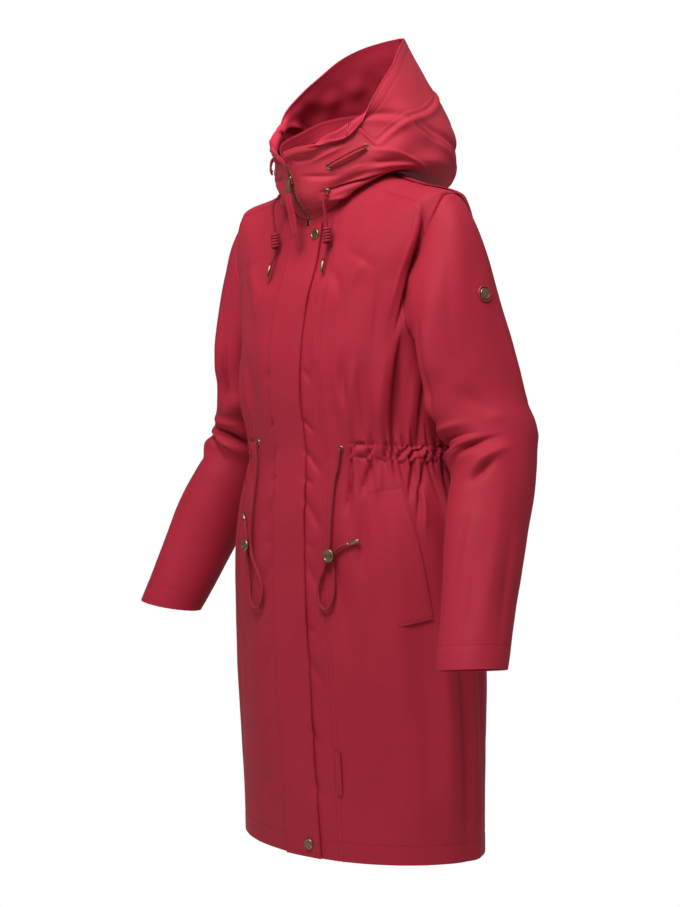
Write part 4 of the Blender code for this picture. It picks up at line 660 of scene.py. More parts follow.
turns = np.linspace(0, YOKE_TURN, CHEST_ROWS)[1:]
low_levels = skirt_levels(SKIRT_ROWS)
high_levels = UNDERARM_LEVEL + (NECK_LEVEL - UNDERARM_LEVEL) * np.interp(turns, LOW_TURNS, CHEST_SHARES)
front_levels = np.concatenate([low_levels, high_levels])
bends = np.concatenate([np.zeros(SKIRT_ROWS), np.interp(turns, LOW_TURNS, np.arange(7) / 6)])
side_edge = np.concatenate([pairs(side_angle(low_levels), low_levels), pairs(*armhole(turns, FRONT_REACH))])
front_stitches = []
for side in (1, -1):
    band_x = np.full(len(front_levels), FRONT_EDGE_X)
    if side > 0:
        band_x = between(CLOSURE, front_levels)[:, 1] * CM
    inner_edge = pairs(front_angle(band_x, front_levels), front_levels)
    start = inner_edge[-1, 0]
    across = np.linspace(0, 1, FRONT_COLUMNS)
    neck = pairs(start + (NECK_JOIN_ANGLE - start) * across / NECK_SHARE, NECK_LEVEL)
    yoke = pairs(*yoke_line(np.clip((across - NECK_SHARE) / (1 - NECK_SHARE), 0, 1)))
    top = np.where((across < NECK_SHARE)[:, None], neck, yoke)
    angles, levels = filled(inner_edge, side_edge, top, bends)
    seam_lanes = [("low", HEM_LANE), ("high", SEAM_LANE)] + ([("left", SEAM_LANE)] if side > 0 else [])
    piece, _, lines = shell_panel(f"front_panel_{side_name(side)}", angles, levels, side,
                                  ("left", "right", "high") if side > 0 else ("right", "high"), seam_lanes)
    dressed(piece, f"front_{side_name(side)}")
    front_stitches += lines

band_share = np.linspace(0, 1, 34)
band_x = FRONT_EDGE_X + (between(CLOSURE, front_levels)[:, 1:2] * CM - FRONT_EDGE_X) * band_share
levels = np.broadcast_to(front_levels[:, None], band_x.shape)
piece, _, lines = shell_panel("front_band", front_angle(band_x, levels), levels, 1, ("right",),
                              [("right", 2.2), ("low", HEM_LANE)])
dressed(piece, "front_band_left")
front_stitches += lines
stitched("front_stitching", front_stitches)


# ================================================================ front yokes
# The shoulder yokes of the same cloth, sewn over the tops of the fronts and to the back at the shoulder.
YOKE_ROWS, YOKE_COLUMNS, YOKE_TURNS = 40, 52, (122, 141, 160, 180)
v = np.linspace(0, 1, YOKE_ROWS)[:, None]
s = np.linspace(0, 1, YOKE_COLUMNS)[None]
hole_angle, hole_level = armhole(np.interp(v, np.linspace(0, 1, 4), YOKE_TURNS), FRONT_REACH)
line_angle, line_level = yoke_line(s)
tip_level = NECK_LEVEL + (TIP_LEVEL - NECK_LEVEL) * s
plain_angle = line_angle + (ARMHOLE_ANGLE - line_angle) * v
plain_level = line_level + (tip_level - line_level) * v
neck_angle = NECK_JOIN_ANGLE + (ARMHOLE_ANGLE - NECK_JOIN_ANGLE) * v
neck_part, hole_part = neck_angle - plain_angle[:, :1], hole_angle - plain_angle[:, -1:]
yoke_angles = plain_angle + neck_part * (1 - s) + hole_part * s
neck_part, hole_part = NECK_LEVEL - plain_level[:, :1], hole_level - plain_level[:, -1:]
yoke_levels = plain_level + neck_part * (1 - s) + hole_part * s
yoke_stitches = []
for side in (1, -1):
    piece, _, lines = shell_panel(f"yoke_{side_name(side)}", yoke_angles, yoke_levels, side,
                                  ("low", "high", "right"), [("low", 2.2), ("low", 7.5), ("high", SEAM_LANE)])
    dressed(piece, f"yoke_front_{side_name(side)}")
    yoke_stitches += lines
stitched("yoke_stitching", yoke_stitches)


# ================================================================ back and its storm flap
# The back is cut in one and gathered by the waist cord. The storm flap hangs loose over its shoulders, sewn
# in at the armholes and the neck, with a turned and stitched lower edge.
BACK_TURNS = (0, 22, 46, 72, 98, 124, 146, 164, 180)
BACK_COLUMNS, BACK_ROWS = 140, 80
STORM_ROWS, STORM_RISE = 44, (1.5, 3.6)  # rows, and how far it stands off in millimetres, top and more below
turns = np.linspace(0, 180, BACK_ROWS)[1:]
edge = np.concatenate([pairs(side_angle(low_levels), low_levels), pairs(*armhole(turns, -BACK_REACH))])
far = np.stack([360 - edge[:, 0], edge[:, 1]], -1)
across = np.linspace(0, 1, BACK_COLUMNS)
under_arms = (ARMHOLE_ANGLE, ARMHOLE_ANGLE, 360 - ARMHOLE_ANGLE, 360 - ARMHOLE_ANGLE)
back_top = pairs(np.interp(across, (0, 0.25, 0.75, 1), under_arms),
                 np.interp(across, (0, 0.25, 0.75, 1), (TIP_LEVEL, NECK_LEVEL, NECK_LEVEL, TIP_LEVEL)))
back_bend = np.interp(turns, BACK_TURNS, np.arange(9) / 8)
angles, levels = filled(edge, far, back_top, np.concatenate([np.zeros(SKIRT_ROWS), back_bend]))
piece, _, lines = shell_panel("back_panel", angles, levels, 1, ("left", "right", "high"), [("low", HEM_LANE)])
dressed(piece, "back")
stitched("back_stitching", lines)

storm_step = np.linspace(4, 7.9, STORM_ROWS)
storm_turns = np.interp(storm_step, np.arange(9), BACK_TURNS)
edge = pairs(*armhole(storm_turns, -BACK_REACH))
far = np.stack([360 - edge[:, 0], edge[:, 1]], -1)
angles, levels = filled(edge, far, back_top, storm_step / 8)
near_neck = smooth(across, 0.16, 0.24) * smooth(across, 0.84, 0.76)
lower = filled(edge, far, back_top, np.maximum(storm_step / 8 - 0.05, 0))
share = (near_neck[None] * smooth(storm_step, 6.5, 7.9)[:, None])
levels = levels * (1 - share) + lower[1] * share
angles = angles * (1 - share) + lower[0] * share
loose = STORM_RISE[0] + STORM_RISE[1] * (1 - (storm_step - 4) / 4) ** 1.5
wave = 1.6 * np.sin(across * 21) * (1 - (storm_step[:, None] - 4) / 4) ** 2
lift = (np.broadcast_to(loose[:, None], angles.shape) + wave) * MM + 1.6 * MM
lanes = [("low", 2.0), ("low", 8.0)]
piece, _, lines = shell_panel("back_storm_panel", angles, levels, 1, (), lanes, lift=lift)
dressed(piece, "back_storm_flap")
stitched("storm_flap_stitching", lines)


# ================================================================ fly flap
# The doubled flap over the zip is sewn to the right front and snaps shut over the left. Its free edge is
# turned and stitched twice. The seam that holds it ends in a short bar tack.
FLAP_WIDTH, FLAP_LIFT, FLAP_NECK_LIFT, FLAP_THICK, FLAP_TOP = 6.3 * CM, 0.8 * MM, 1.0 * MM, 2.2 * MM, -0.45
flap_levels = np.concatenate([front_levels[front_levels < -1.0], np.linspace(-0.95, FLAP_TOP, 4)])
free = between(CLOSURE, flap_levels)[:, :1] * CM
flap_x = free - FLAP_WIDTH * (1 - np.linspace(0, 1, 36)[None])
flap_grid = np.broadcast_to(flap_levels[:, None], flap_x.shape)
lift = FLAP_LIFT + FLAP_NECK_LIFT * np.clip((flap_grid + 12) / 8, 0, 1) + FLAP_THICK
belly = 0.9 * MM * smooth(flap_x - free, -0.02, 0.0) * np.sin(flap_grid * 0.42 + 1)
belly = belly * smooth(flap_grid, -88, -70)
piece, _, lines = shell_panel("fly_flap_panel", front_angle(flap_x, flap_grid), flap_grid, 1, ("left",),
                                      [("right", 2.0), ("left", 2.0), ("high", 2.5), ("low", 6.0)],
                                      lift=lift, thick=FLAP_THICK * 0.9, extra=np.maximum(belly, -0.4 * MM))
dressed(piece, "fly_flap")
stitched("fly_flap_stitching", lines)


# ================================================================ sleeves
# Set-in sleeves of the same cloth, each one piece with its seam inside the arm. The worn bend of the elbow
# throws short deep folds; the cuff is turned up 3 cm and stitched.
# station, x, y, z, lean_x, lean_y, wide, thick, turn, right_z_rise
SLEEVE_RINGS = (
    (0.0, 21.6, 1.4, -24.4, 0.12, 0.14, 13.8, 7.3, 18, 0.0),  # biceps
    (0.7, 22.3, 2.3, -29.6, 0.15, 0.14, 13.8, 7.9, 18, 0.0),
    (1.3, 23.6, 3.2, -33.8, 0.20, 0.00, 13.0, 8.9, 14, 0.2),  # elbow
    (2.0, 24.9, 2.7, -38.4, 0.24, -0.28, 12.0, 9.3, 8, 0.5),
    (3.0, 26.7, -0.4, -46.2, 0.23, -0.40, 11.0, 9.2, 3, 1.4),
    (4.0, 28.4, -3.5, -54.4, 0.22, -0.36, 9.8, 9.0, 0, 2.4),
    (5.0, 30.0, -6.3, -62.4, 0.14, -0.10, 8.8, 8.6, 0, 3.4),  # cuff
)
# round angle (0 inside, 90 front, 180 outside, 270 back), spread, station, spread, depth in millimetres
SLEEVE_FOLDS = (
    (60, 45, 1.05, 0.16, -4.0), (75, 50, 1.35, 0.15, 3.5), (70, 50, 1.62, 0.14, -5.0),
    (95, 50, 1.90, 0.17, 3.5), (80, 45, 2.25, 0.20, -2.5), (265, 45, 1.30, 0.25, 3.0),
    (110, 35, 3.3, 0.50, 2.0), (30, 40, 4.0, 0.50, -2.0), (100, 30, 0.35, 0.22, -3.0),
    (60, 30, 0.62, 0.16, 3.0),
)
# start turn, start station, end turn, end station, width and depth in millimetres, lean, bow
SLEEVE_CREASES = (
    (40, 1.62, 134, 1.36, 10, -6.4, -0.5, 4),  # the elbow's crook
    (55, 1.97, 134, 1.56, 9, 3.6, -0.3, 5), (50, 1.15, 132, 1.10, 10, 3.6, 0, 0),
    (158, 1.52, 70, 2.16, 9, -4.6, -0.5, -5),  # below it
    (122, 2.42, 150, 2.06, 8, -1.8, 0.3, 0), (172, 1.72, 110, 2.32, 9, 3.4, 0, 0),
    (155, 1.98, 118, 2.48, 7, -2.6, 0.3, 0), (190, 1.05, 158, 1.12, 12, 1.0, 0, 0),
    (150, 0.45, 172, 0.95, 12, -1.8, 0, 0), (92, -0.35, 96, 0.75, 13, -5.0, 0.3, 0),
    (112, -0.72, 120, 0.55, 18, 2.0, 0, 0), (135, -0.8, 160, 0.2, 14, -1.4, 0, 0),
    (120, 2.7, 96, 3.9, 13, -1.6, 0.3, 0), (165, 2.6, 150, 4.4, 16, 1.4, 0, 0),
    (130, 3.6, 124, 4.9, 12, -1.2, 0, 0), (184, 3.0, 178, 4.7, 12, -1.4, 0, 0),
    (248, 0.95, 318, 1.25, 9, -2.0, 0.3, 0), (244, 1.4, 322, 1.62, 9, 1.4, 0, 0),
    (250, 1.75, 310, 1.95, 9, -1.4, 0, 0), (250, -0.6, 262, 0.6, 11, -2.2, 0, 0),
    (222, -0.3, 236, 0.8, 12, 1.8, 0, 0), (268, 2.6, 262, 4.2, 12, -1.8, 0, 0),
)
SLEEVE_DEGREE, SLEEVE_STATION = 1.0 * MM, 78 * MM
ARMHOLE_GAP, SLEEVE_CLEAR, CUFF_LANE = 0.7 * MM, 1.2 * MM, 30.0
CAP_ROWS, ARM_ROWS, ARM_COLUMNS = 38, 132, 118


def turned_about(vectors, axis, angle):
    """Vectors turned about a unit axis by an angle in degrees."""
    c, s = np.cos(np.radians(angle))[..., None], np.sin(np.radians(angle))[..., None]
    dot = np.sum(vectors * axis, -1, keepdims=True)
    return vectors * c + np.cross(axis, vectors) * s + axis * dot * (1 - c)


def sleeve_ring(station, turn, side):
    """Points round the sleeve: turn 0 inside the arm, 90 front, 180 outside, 270 back."""
    station, turn = np.broadcast_arrays(np.asarray(station, float), np.asarray(turn, float))
    x, y, z, lean_x, lean_y, wide, thick, twist, rise = np.moveaxis(between(SLEEVE_RINGS, station), -1, 0)
    axis = unit(np.stack([lean_x, lean_y, -np.ones_like(x)], -1))
    ahead = np.array((0.0, 1.0, 0.0))
    across = unit(ahead - axis * (axis @ ahead)[..., None])
    outward = unit(np.cross(across, axis))
    across, outward = turned_about(across, axis, twist), turned_about(outward, axis, twist)
    outward = np.where(outward[..., :1] < 0, -outward, outward)
    c, s = np.cos(np.radians(turn))[..., None], np.sin(np.radians(turn))[..., None]
    point = np.stack([x, y, z], -1) - outward * (thick / 2)[..., None] * c
    point = point - across * (wide / 2)[..., None] * s
    if side < 0:
        point = point + np.stack([0 * rise, 0 * rise, rise], -1)
    return point * CM


def cap_edge(turn):
    """The armhole's edge as angle and level, all the way round."""
    turn = np.asarray(turn, float) % 360
    front, rear = armhole(turn, FRONT_REACH), armhole(360 - turn, -BACK_REACH)
    return np.where(turn <= 180, front[0], rear[0]), np.where(turn <= 180, front[1], rear[1])


def sleeve_plain(run, turn, side):
    """The smooth sleeve: run -1 to 0 is the cap, from armhole to biceps, then it is the ring station."""
    run, turn = np.broadcast_arrays(np.asarray(run, float), np.asarray(turn, float))
    start = body_plain(*cap_edge(turn))
    end, below = sleeve_ring(0, turn, side), sleeve_ring(0.05, turn, side)
    high = ((1 - np.cos(np.radians(turn))) / 2)[..., None]
    length = np.linalg.norm(end - start, axis=-1, keepdims=True)
    ones = np.ones_like(turn)
    leave = np.stack([0.78 + 0.1 * high[..., 0], 0.08 * np.sin(np.radians(turn)), -0.6 * ones], -1)
    leave = unit(leave) * length * (0.6 + 0.3 * high)
    arrive = unit(below - end) * length * (0.8 + 0.3 * high)
    t = np.clip(run + 1, 0, 1)[..., None]
    h00, h10 = (1 + 2 * t) * (1 - t) ** 2, t * (1 - t) ** 2
    h01, h11 = t * t * (3 - 2 * t), t * t * (t - 1)
    cap = h00 * start + h10 * leave + h01 * end + h11 * arrive
    return np.where((run >= 0)[..., None], sleeve_ring(np.maximum(run, 0), turn, side), cap)


def sleeve_normal(run, turn, side):
    """The smooth sleeve's outward normal."""
    below, above = np.minimum(run + 0.02, 5), np.maximum(run - 0.02, -1)
    along = sleeve_plain(below, turn, side) - sleeve_plain(above, turn, side)
    return unit(np.cross(along, sleeve_plain(run, turn + 3, side) - sleeve_plain(run, turn - 3, side)))


def sleeve_relief(run, turn, side):
    """How far the sleeve's folds move it out, in metres."""
    total = np.zeros(np.shape(run))
    for at, spread, where, reach, depth in SLEEVE_FOLDS:
        total += depth * MM * bump((turn - at + 180) % 360 - 180, spread) * bump(run - where, reach)
    total += creases(SLEEVE_CREASES, turn, run, SLEEVE_DEGREE, SLEEVE_STATION)
    total += rumple(sleeve_plain(run, turn, side), (0.03, 0.13), 0.7 * MM, 5 + side, (1, 1, 0.6))
    return total * smooth(run, -1, -0.8)


def clear_of_body(points):
    """Points moved out to stand just clear of the body's side where they would press into it."""
    level = points[..., 2] / CM
    low, high = np.full(level.shape, 45.0), np.full(level.shape, 135.0)
    for _ in range(14):
        middle = (low + high) / 2
        behind = body_plain(middle, level)[..., 1] < points[..., 1]
        low, high = np.where(behind, middle, low), np.where(behind, high, middle)
    beside = (low > 46) & (low < 134) & (level > -34) & (level < TIP_LEVEL - 4)
    least = shell(low, level)[..., 0] + SLEEVE_CLEAR
    points[..., 0] = np.where(beside, np.maximum(points[..., 0], least), points[..., 0])
    return points


cap_runs = -1 + np.linspace(0, 1, CAP_ROWS) ** 1.25
arm_runs = np.interp(np.linspace(0, 1, ARM_ROWS), (0, 0.5, 1), (0, 2.1, 5))[1:]
runs = np.concatenate([cap_runs, arm_runs])
turns = np.linspace(0, 360, ARM_COLUMNS)
run_grid, turn_grid = np.meshgrid(runs, turns, indexing="ij")
sleeve_lines = []
for side in (1, -1):
    normals = sleeve_normal(run_grid, turn_grid, side)
    points = sleeve_plain(run_grid, turn_grid, side)
    points = points + normals * sleeve_relief(run_grid, turn_grid, side)[..., None]
    seam_angle, seam_level = cap_edge(turns)
    flat = body_normal(seam_angle, seam_level)
    seam = shell(seam_angle, seam_level)
    toward = body_plain(ARMHOLE_ANGLE, (TIP_LEVEL + UNDERARM_LEVEL) / 2) - seam
    toward = unit(toward - flat * np.sum(toward * flat, -1, keepdims=True))
    pull = np.exp(-(from_edge(points, "low") / (9 * MM)) ** 2)[..., None]
    points = points + (seam + toward * ARMHOLE_GAP - points[0])[None] * pull
    puff = 0.9 * MM * np.exp(-((from_edge(points, "low") - 6 * MM) / (5 * MM)) ** 2)
    outside_arm = smooth(turn_grid, 20, 60)[..., None] * smooth(turn_grid, 340, 300)[..., None]
    points = points + normals * puff[..., None] * outside_arm
    points[1:] = clear_of_body(points[1:])
    points = sewn(points, normals, ("low",), (("high", CUFF_LANE), ("high", 2.0)))
    normals[0] = flat
    normals = unit(normals + (flat[None] - normals) * pull)
    points[:, -1] = points[:, 0]
    outside, inside = mirror(points, side), mirror(points - normals * CLOTH_THICK, side)
    inside[:, -1] = inside[:, 0]
    piece = wall(f"sleeve_cloth_{side_name(side)}", outside, inside, (shell_cloth, facing_cloth_painted_light), tube=True)
    dressed(piece, f"sleeve_{side_name(side)}")
    sleeve_lines += [lane(outside, "high", CUFF_LANE)]
stitched("cuff_stitching", sleeve_lines)


# ================================================================ hood
# The hood stands up off the neck seam and rolls into a cowl. Its side panels run round to the chin, a centre
# panel closes the back, and a deep peaked brim is sewn on round the face with rows of stitching.
# station, half_width, front_y, side_y, back_y, front_z, side_z, back_z, squareness
HOOD_RINGS = (
    (0.0, 7.6, -6.4, 0.0, 6.3, -6.0, 0.2, 1.2, 2.0),  # neck seam
    (1.0, 10.8, -7.6, 2.4, 14.6, -4.6, 0.5, -1.6, 2.0),  # under the roll of the cowl
    (2.0, 11.7, -8.7, 3.4, 16.8, -3.2, 2.2, 1.4, 2.05),  # fullest part of the cowl
    (3.0, 11.0, -9.4, 3.2, 17.1, -1.2, 5.4, 6.8, 1.95),
    (4.0, 9.7, -10.3, 1.8, 14.3, 0.7, 9.2, 12.9, 1.8),  # brim seam at the top
)
HOOD_EDGE = (  # angle, x, y, z of the opening edge
    (0, 0.4, -11.7, 2.3), (14, 2.3, -10.7, 3.1), (32, 5.2, -8.8, 3.5), (48, 7.3, -6.5, 4.2),
    (60, 8.4, -4.8, 6.2), (72, 8.7, -3.2, 9.3), (88, 8.1, -0.8, 12.1), (108, 7.3, 1.7, 14.4),
    (128, 5.9, 4.2, 16.8), (148, 4.2, 6.6, 18.4), (165, 2.2, 8.9, 19.4), (180, 0.0, 10.0, 19.8),
)
HOOD_FOLDS = (  # angle, spread, station, spread, depth in millimetres
    (40, 16, 1.9, 0.35, -6.0), (66, 14, 2.5, 0.35, 4.0), (95, 16, 2.4, 0.40, -4.0),
    (122, 14, 2.9, 0.45, 4.0), (146, 10, 2.6, 0.50, -3.0), (22, 9, 3.4, 0.50, -3.0),
    (88, 12, 3.6, 0.40, 3.0),
)
# start angle, start station, end angle, end station, width and depth in millimetres, lean, bow
HOOD_CREASES = (
    (26, 1.85, 84, 0.85, 8, -5.6, -0.5, 3),  # under the cowl
    (20, 1.4, 44, 0.6, 9, 2.6, 0, 0), (44, 2.2, 92, 1.25, 12, 2.4, 0, 0),
    (50, 3.0, 98, 1.15, 6, 2.6, -0.5, -4), (46, 2.55, 78, 1.7, 7, -2.0, 0, 0),
    (88, 3.55, 134, 1.6, 7, 3.2, -0.4, 5), (84, 3.6, 112, 2.5, 6, -2.6, 0.4, 5),
    (98, 3.3, 140, 2.2, 9, -2.6, 0, 0), (56, 3.9, 80, 3.2, 9, 1.8, 0, 0),
    (26, 4.6, 52, 4.2, 9, -2.4, 0.4, 0), (60, 4.0, 84, 3.5, 8, -2.2, 0.3, 0),
    (8, 4.3, 26, 3.7, 8, -2.2, 0.3, 0), (12, 3.2, 34, 2.4, 8, -2.0, 0, 0),
    (22, 3.7, 44, 3.4, 7, 1.8, 0, 0), (140, 3.2, 128, 1.5, 12, -2.0, 0, 0),
    (165, 3.0, 172, 1.3, 12, 2.4, 0, 0), (152, 3.6, 156, 1.8, 10, -1.8, 0, 0),
)
HOOD_DEGREE, HOOD_STATION = 2.0 * MM, 62 * MM
NECK_RISE, HOOD_END = 2.4, 5
BRIM_START, BRIM_CHEEK_ANGLE, HOOD_PANEL_ANGLE = 49.0, 61.0, 148.0
BRIM_LEAST, BRIM_PEAK, BRIM_CHEEK = 0.32, 0.92, 1.0
BRIM_RIDGE = 2.0 * MM  # the seam allowances folded up behind the brim seam
LINING_SLACK, LINING_RUMPLE = 3.0 * MM, 2.2 * MM  # how far the facing hangs in, and its crumples


def hood_ring(angle, station):
    """A ring of the hood at an angle from the centre front, in centimetres."""
    half, front_y, side_y, back_y, front_z, side_z, back_z, square = HOOD_RINGS[station][1:]
    side, ahead = np.sin(np.radians(angle)), np.cos(np.radians(angle))
    end_y, end_z = np.where(ahead > 0, front_y, back_y), np.where(ahead > 0, front_z, back_z)
    x = half * np.sign(side) * np.abs(side) ** (2 / square)
    y = side_y + (end_y - side_y) * np.abs(ahead) ** (2 / square)
    return np.stack([x, y, side_z + (end_z - side_z) * ahead * ahead], -1)


def edge_point(table, angle):
    """A point of an edge that is a table of angle, x, y and z for one half."""
    turned = np.asarray(angle, float) % 360
    flipped = turned > 180
    point = between(table, np.where(flipped, 360 - turned, turned))
    return np.where(flipped[..., None], point * np.array((-1, 1, 1)), point)


def hood_plain(angle, station):
    """The smooth hood, neck seam at station 0 and opening edge at 5."""
    angle, station = np.broadcast_arrays(np.asarray(angle, float), np.asarray(station, float))
    nodes = [hood_ring(angle, i) for i in range(HOOD_END)] + [edge_point(HOOD_EDGE, angle)]
    total = np.zeros(angle.shape + (3,))
    low = np.clip(np.floor(station).astype(int), 0, HOOD_END - 1)
    for i in range(HOOD_END):
        start, end = nodes[i], nodes[i + 1]
        first, second = (end - nodes[max(i - 1, 0)]) / 2, (nodes[min(i + 2, HOOD_END)] - start) / 2
        if i == 0:
            first = (end - start) * 0.6 + np.array((0, 0, NECK_RISE))
        t = (station - i)[..., None]
        h00, h10 = (1 + 2 * t) * (1 - t) ** 2, t * (1 - t) ** 2
        h01, h11 = t * t * (3 - 2 * t), t * t * (t - 1)
        here = h00 * start + h10 * first + h01 * end + h11 * second
        total = np.where((low == i)[..., None], here, total)
    return total * CM


def hood_normal(angle, station):
    """The smooth hood's outward normal."""
    return normal_of(hood_plain, angle, np.clip(station, 0.06, HOOD_END - 0.06), 1.0, 0.05)


def hood_relief(angle, station):
    """How far the hood's folds move it out, in metres."""
    turned = np.abs((np.asarray(angle, float) + 180) % 360 - 180)
    total = sum(d * bump(turned - a, sa) * bump(station - at, ss) for a, sa, at, ss, d in HOOD_FOLDS) * MM
    total = total + creases(HOOD_CREASES, turned, station, HOOD_DEGREE, HOOD_STATION)
    total = total + rumple(hood_plain(angle, station), (0.03, 0.12), 0.8 * MM, 9)
    return total * smooth(station, 0, 0.35)


def hood(angle, station, out=0.0):
    """The hood's outer surface, moved out by out."""
    high = (hood_relief(angle, station) + out)[..., None]
    return hood_plain(angle, station) + hood_normal(angle, station) * high


def hood_angle(x, station):
    """The angle at which the hood has this x, near its front, in metres."""
    rings = between(HOOD_RINGS, station)
    share = np.abs(x) / (rings[..., 0] * CM)
    return np.degrees(np.copysign(np.arcsin(share ** (rings[..., 7] / 2)), x))


def brim_station(angle):
    """Where the brim's seam runs."""
    turned = np.abs((np.asarray(angle, float) + 180) % 360 - 180)
    share = np.clip((turned - BRIM_CHEEK_ANGLE) / (180 - BRIM_CHEEK_ANGLE), 0, 1)
    started = np.clip((turned - BRIM_START) / (BRIM_CHEEK_ANGLE - BRIM_START), 0, 1)
    wide = (BRIM_PEAK + BRIM_CHEEK * (1 - share) ** 2.5) * np.sin(started * np.pi / 2)
    return HOOD_END - np.maximum(wide, BRIM_LEAST)


def hood_panel(name, angles, stations, side, seams, lanes, solid):
    """One panel of the hood: its wall, dressed, and the lines of its topstitching."""
    normals = hood_normal(angles, stations)
    plain = hood(angles, stations)
    outside = sewn(plain, normals, seams, lanes)
    if "high" in seams:
        away = from_edge(outside, "high")
        outside = outside + normals * (BRIM_RIDGE * np.exp(-((away - 7 * MM) / (5 * MM)) ** 2))[..., None]
    slack = LINING_SLACK + rumple(plain, (0.02, 0.08), LINING_RUMPLE, 33)
    deep = CLOTH_THICK * 1.5 + slack * smooth(HOOD_END - stations, 0.1, 0.7) * smooth(stations, 0.1, 1.0)
    outside, inside = mirror(outside, side), mirror(plain - normals * deep[..., None], side)
    piece = wall(name, outside, inside, (hood_cloth_painted_light, facing_cloth_painted_light))
    dressed(piece, solid)
    return [lane(outside, edge, inward) for edge, inward in lanes]


# The hood's cloth is the shell cloth painted lighter: painted light for the top light that falls on the
# hood's upward-sloping sides.
hood_cloth_painted_light = woven("polyester_hood_cloth", "b32c3e", "a42435")
HOOD_FOOT, SIDE_ROWS, SIDE_COLUMNS = 0.02, 122, 126
share = np.linspace(0, 1, SIDE_ROWS)[:, None]
hood_lines = []
below_brim, beside_brim = np.linspace(0, 48.9, 50), np.linspace(49.1, HOOD_PANEL_ANGLE, SIDE_COLUMNS - 50)
side_angles = np.concatenate([below_brim, beside_brim])
side_end = np.where(side_angles < BRIM_START, HOOD_END, brim_station(side_angles))[None]
stations = HOOD_FOOT + (side_end - HOOD_FOOT) * share
angles = np.broadcast_to(side_angles[None], stations.shape).copy()
first_angle = hood_angle(np.full(SIDE_ROWS, FRONT_EDGE_X), stations[:, 0])
angles = np.maximum(angles, first_angle[:, None]) + 0.02 * np.arange(SIDE_COLUMNS) * (angles < 8)
for side in (1, -1):
    hood_lines += hood_panel(f"hood_panel_{side_name(side)}", angles, stations, side, ("right", "high"),
                             [("right", SEAM_LANE), ("left", 6.0)], f"hood_side_{side_name(side)}")
middle = np.linspace(HOOD_PANEL_ANGLE, 360 - HOOD_PANEL_ANGLE, 50)
stations = HOOD_FOOT + (brim_station(middle)[None] - HOOD_FOOT) * share
hood_lines += hood_panel("hood_centre_panel", np.broadcast_to(middle[None], stations.shape), stations, 1,
                         ("left", "right", "high"), [("left", SEAM_LANE),
                         ("right", SEAM_LANE)], "hood_centre")
brim_angles = np.concatenate([np.linspace(BRIM_START + 0.5, HOOD_PANEL_ANGLE, 86), middle,
                              np.linspace(360 - HOOD_PANEL_ANGLE, 360 - BRIM_START - 0.5, 86)])
seam_at = brim_station(brim_angles)[None]
stations = seam_at + (HOOD_END - seam_at) * np.linspace(0, 1, 38)[:, None]
hood_lines += hood_panel("hood_brim_panel", np.broadcast_to(brim_angles[None], stations.shape), stations, 1,
                         ("low",), [("low", 2.0), ("low", 9.0), ("high", 3.0), ("high", 14.0)], "hood_brim")
stitched("hood_stitching", hood_lines)


# ================================================================ stand collar
# The inner collar stands inside the hood on the same neck seam, soft and open at the front.
COLLAR_TOP = (  # angle, x, y, z of its top edge
    (0, 0.0, -8.9, 1.2), (30, 3.6, -8.0, 2.6), (60, 6.4, -5.6, 4.8), (90, 7.1, -1.2, 6.9),
    (120, 6.0, 1.6, 8.3), (150, 3.4, 3.7, 8.9), (180, 0.0, 4.5, 9.0),
)
COLLAR_FOOT, COLLAR_INSET, COLLAR_END = 0.08, 2.2 * MM, 8.5
# The collar's cloth is the shell cloth painted darker: painted shade for the collar standing in the shadow
# inside the hood.
collar_cloth_painted_shade = woven("polyester_collar_cloth", "781927", "6d141f")


def collar_plain(angle, share):
    """The collar from its foot to its top edge."""
    share = np.asarray(share)[..., None]
    at = COLLAR_FOOT + 0 * angle
    foot = hood_plain(angle, at) - hood_normal(angle, at) * COLLAR_INSET
    top = edge_point(COLLAR_TOP, angle) * CM
    middle = (foot + top) / 2 + np.array((0, 0, 3 * MM))
    return foot * (1 - share) ** 2 + middle * 2 * share * (1 - share) + top * share ** 2


angles, shares = np.meshgrid(np.linspace(COLLAR_END, 360 - COLLAR_END, 140), np.linspace(0, 1, 44))
normals = normal_of(collar_plain, angles, np.clip(shares, 0.03, 0.97), 2.0, 0.03)
uneven = rumple(collar_plain(angles, shares), (0.03, 0.09), 1.3 * MM, 21) * smooth(shares, 0, 0.3)
points = collar_plain(angles, shares) + normals * uneven[..., None]
points = sewn(points, normals, (), (("high", 3.0), ("high", 22.0)))
piece = wall("stand_collar_cloth", points, points - normals * CLOTH_THICK, (collar_cloth_painted_shade, facing_cloth_painted_light))
dressed(piece, "stand_collar")
stitched("collar_stitching", [lane(points, "high", 3.0), lane(points, "high", 22.0)])


# ================================================================ pocket welts and side tag
# The slanted hip welts are folded strips laid on the fronts and stitched at their ends and foot. The small
# tag is let into the band seam and left bare.
WELT_CORNERS = ((42.0, -41.4), (60.4, -40.7), (68.6, -57.35), (52.3, -58.3))
WELT_LIFT, WELT_THICK = 1.5 * MM, 1.8 * MM
front_top, back_top_corner, back_low, front_low = (np.array(corner) for corner in WELT_CORNERS)
r, s = np.meshgrid(np.linspace(0, 1, 76), np.linspace(0, 1, 34), indexing="ij")
r, s = r[..., None], s[..., None]
grid = (front_low * (1 - r) + front_top * r) * (1 - s) + (back_low * (1 - r) + back_top_corner * r) * s
welt_lines = []
for side in (1, -1):
    gape = 1.4 * MM * s * s * 4 * r * (1 - r)
    mouth = (gape - (WELT_LIFT + WELT_THICK) * 0.85 * (1 - smooth(s, 0, 0.35)))[..., 0]
    piece, _, lines = shell_panel(f"welt_{side_name(side)}", grid[..., 0], grid[..., 1], side, (),
                                  [("right", 2.0), ("low", 2.0), ("high", 2.0)],
                                  lift=WELT_LIFT + WELT_THICK, thick=WELT_THICK, extra=mouth)
    dressed(piece, f"pocket_welt_{side_name(side)}")
    welt_lines += lines
stitched("welt_stitching", welt_lines)

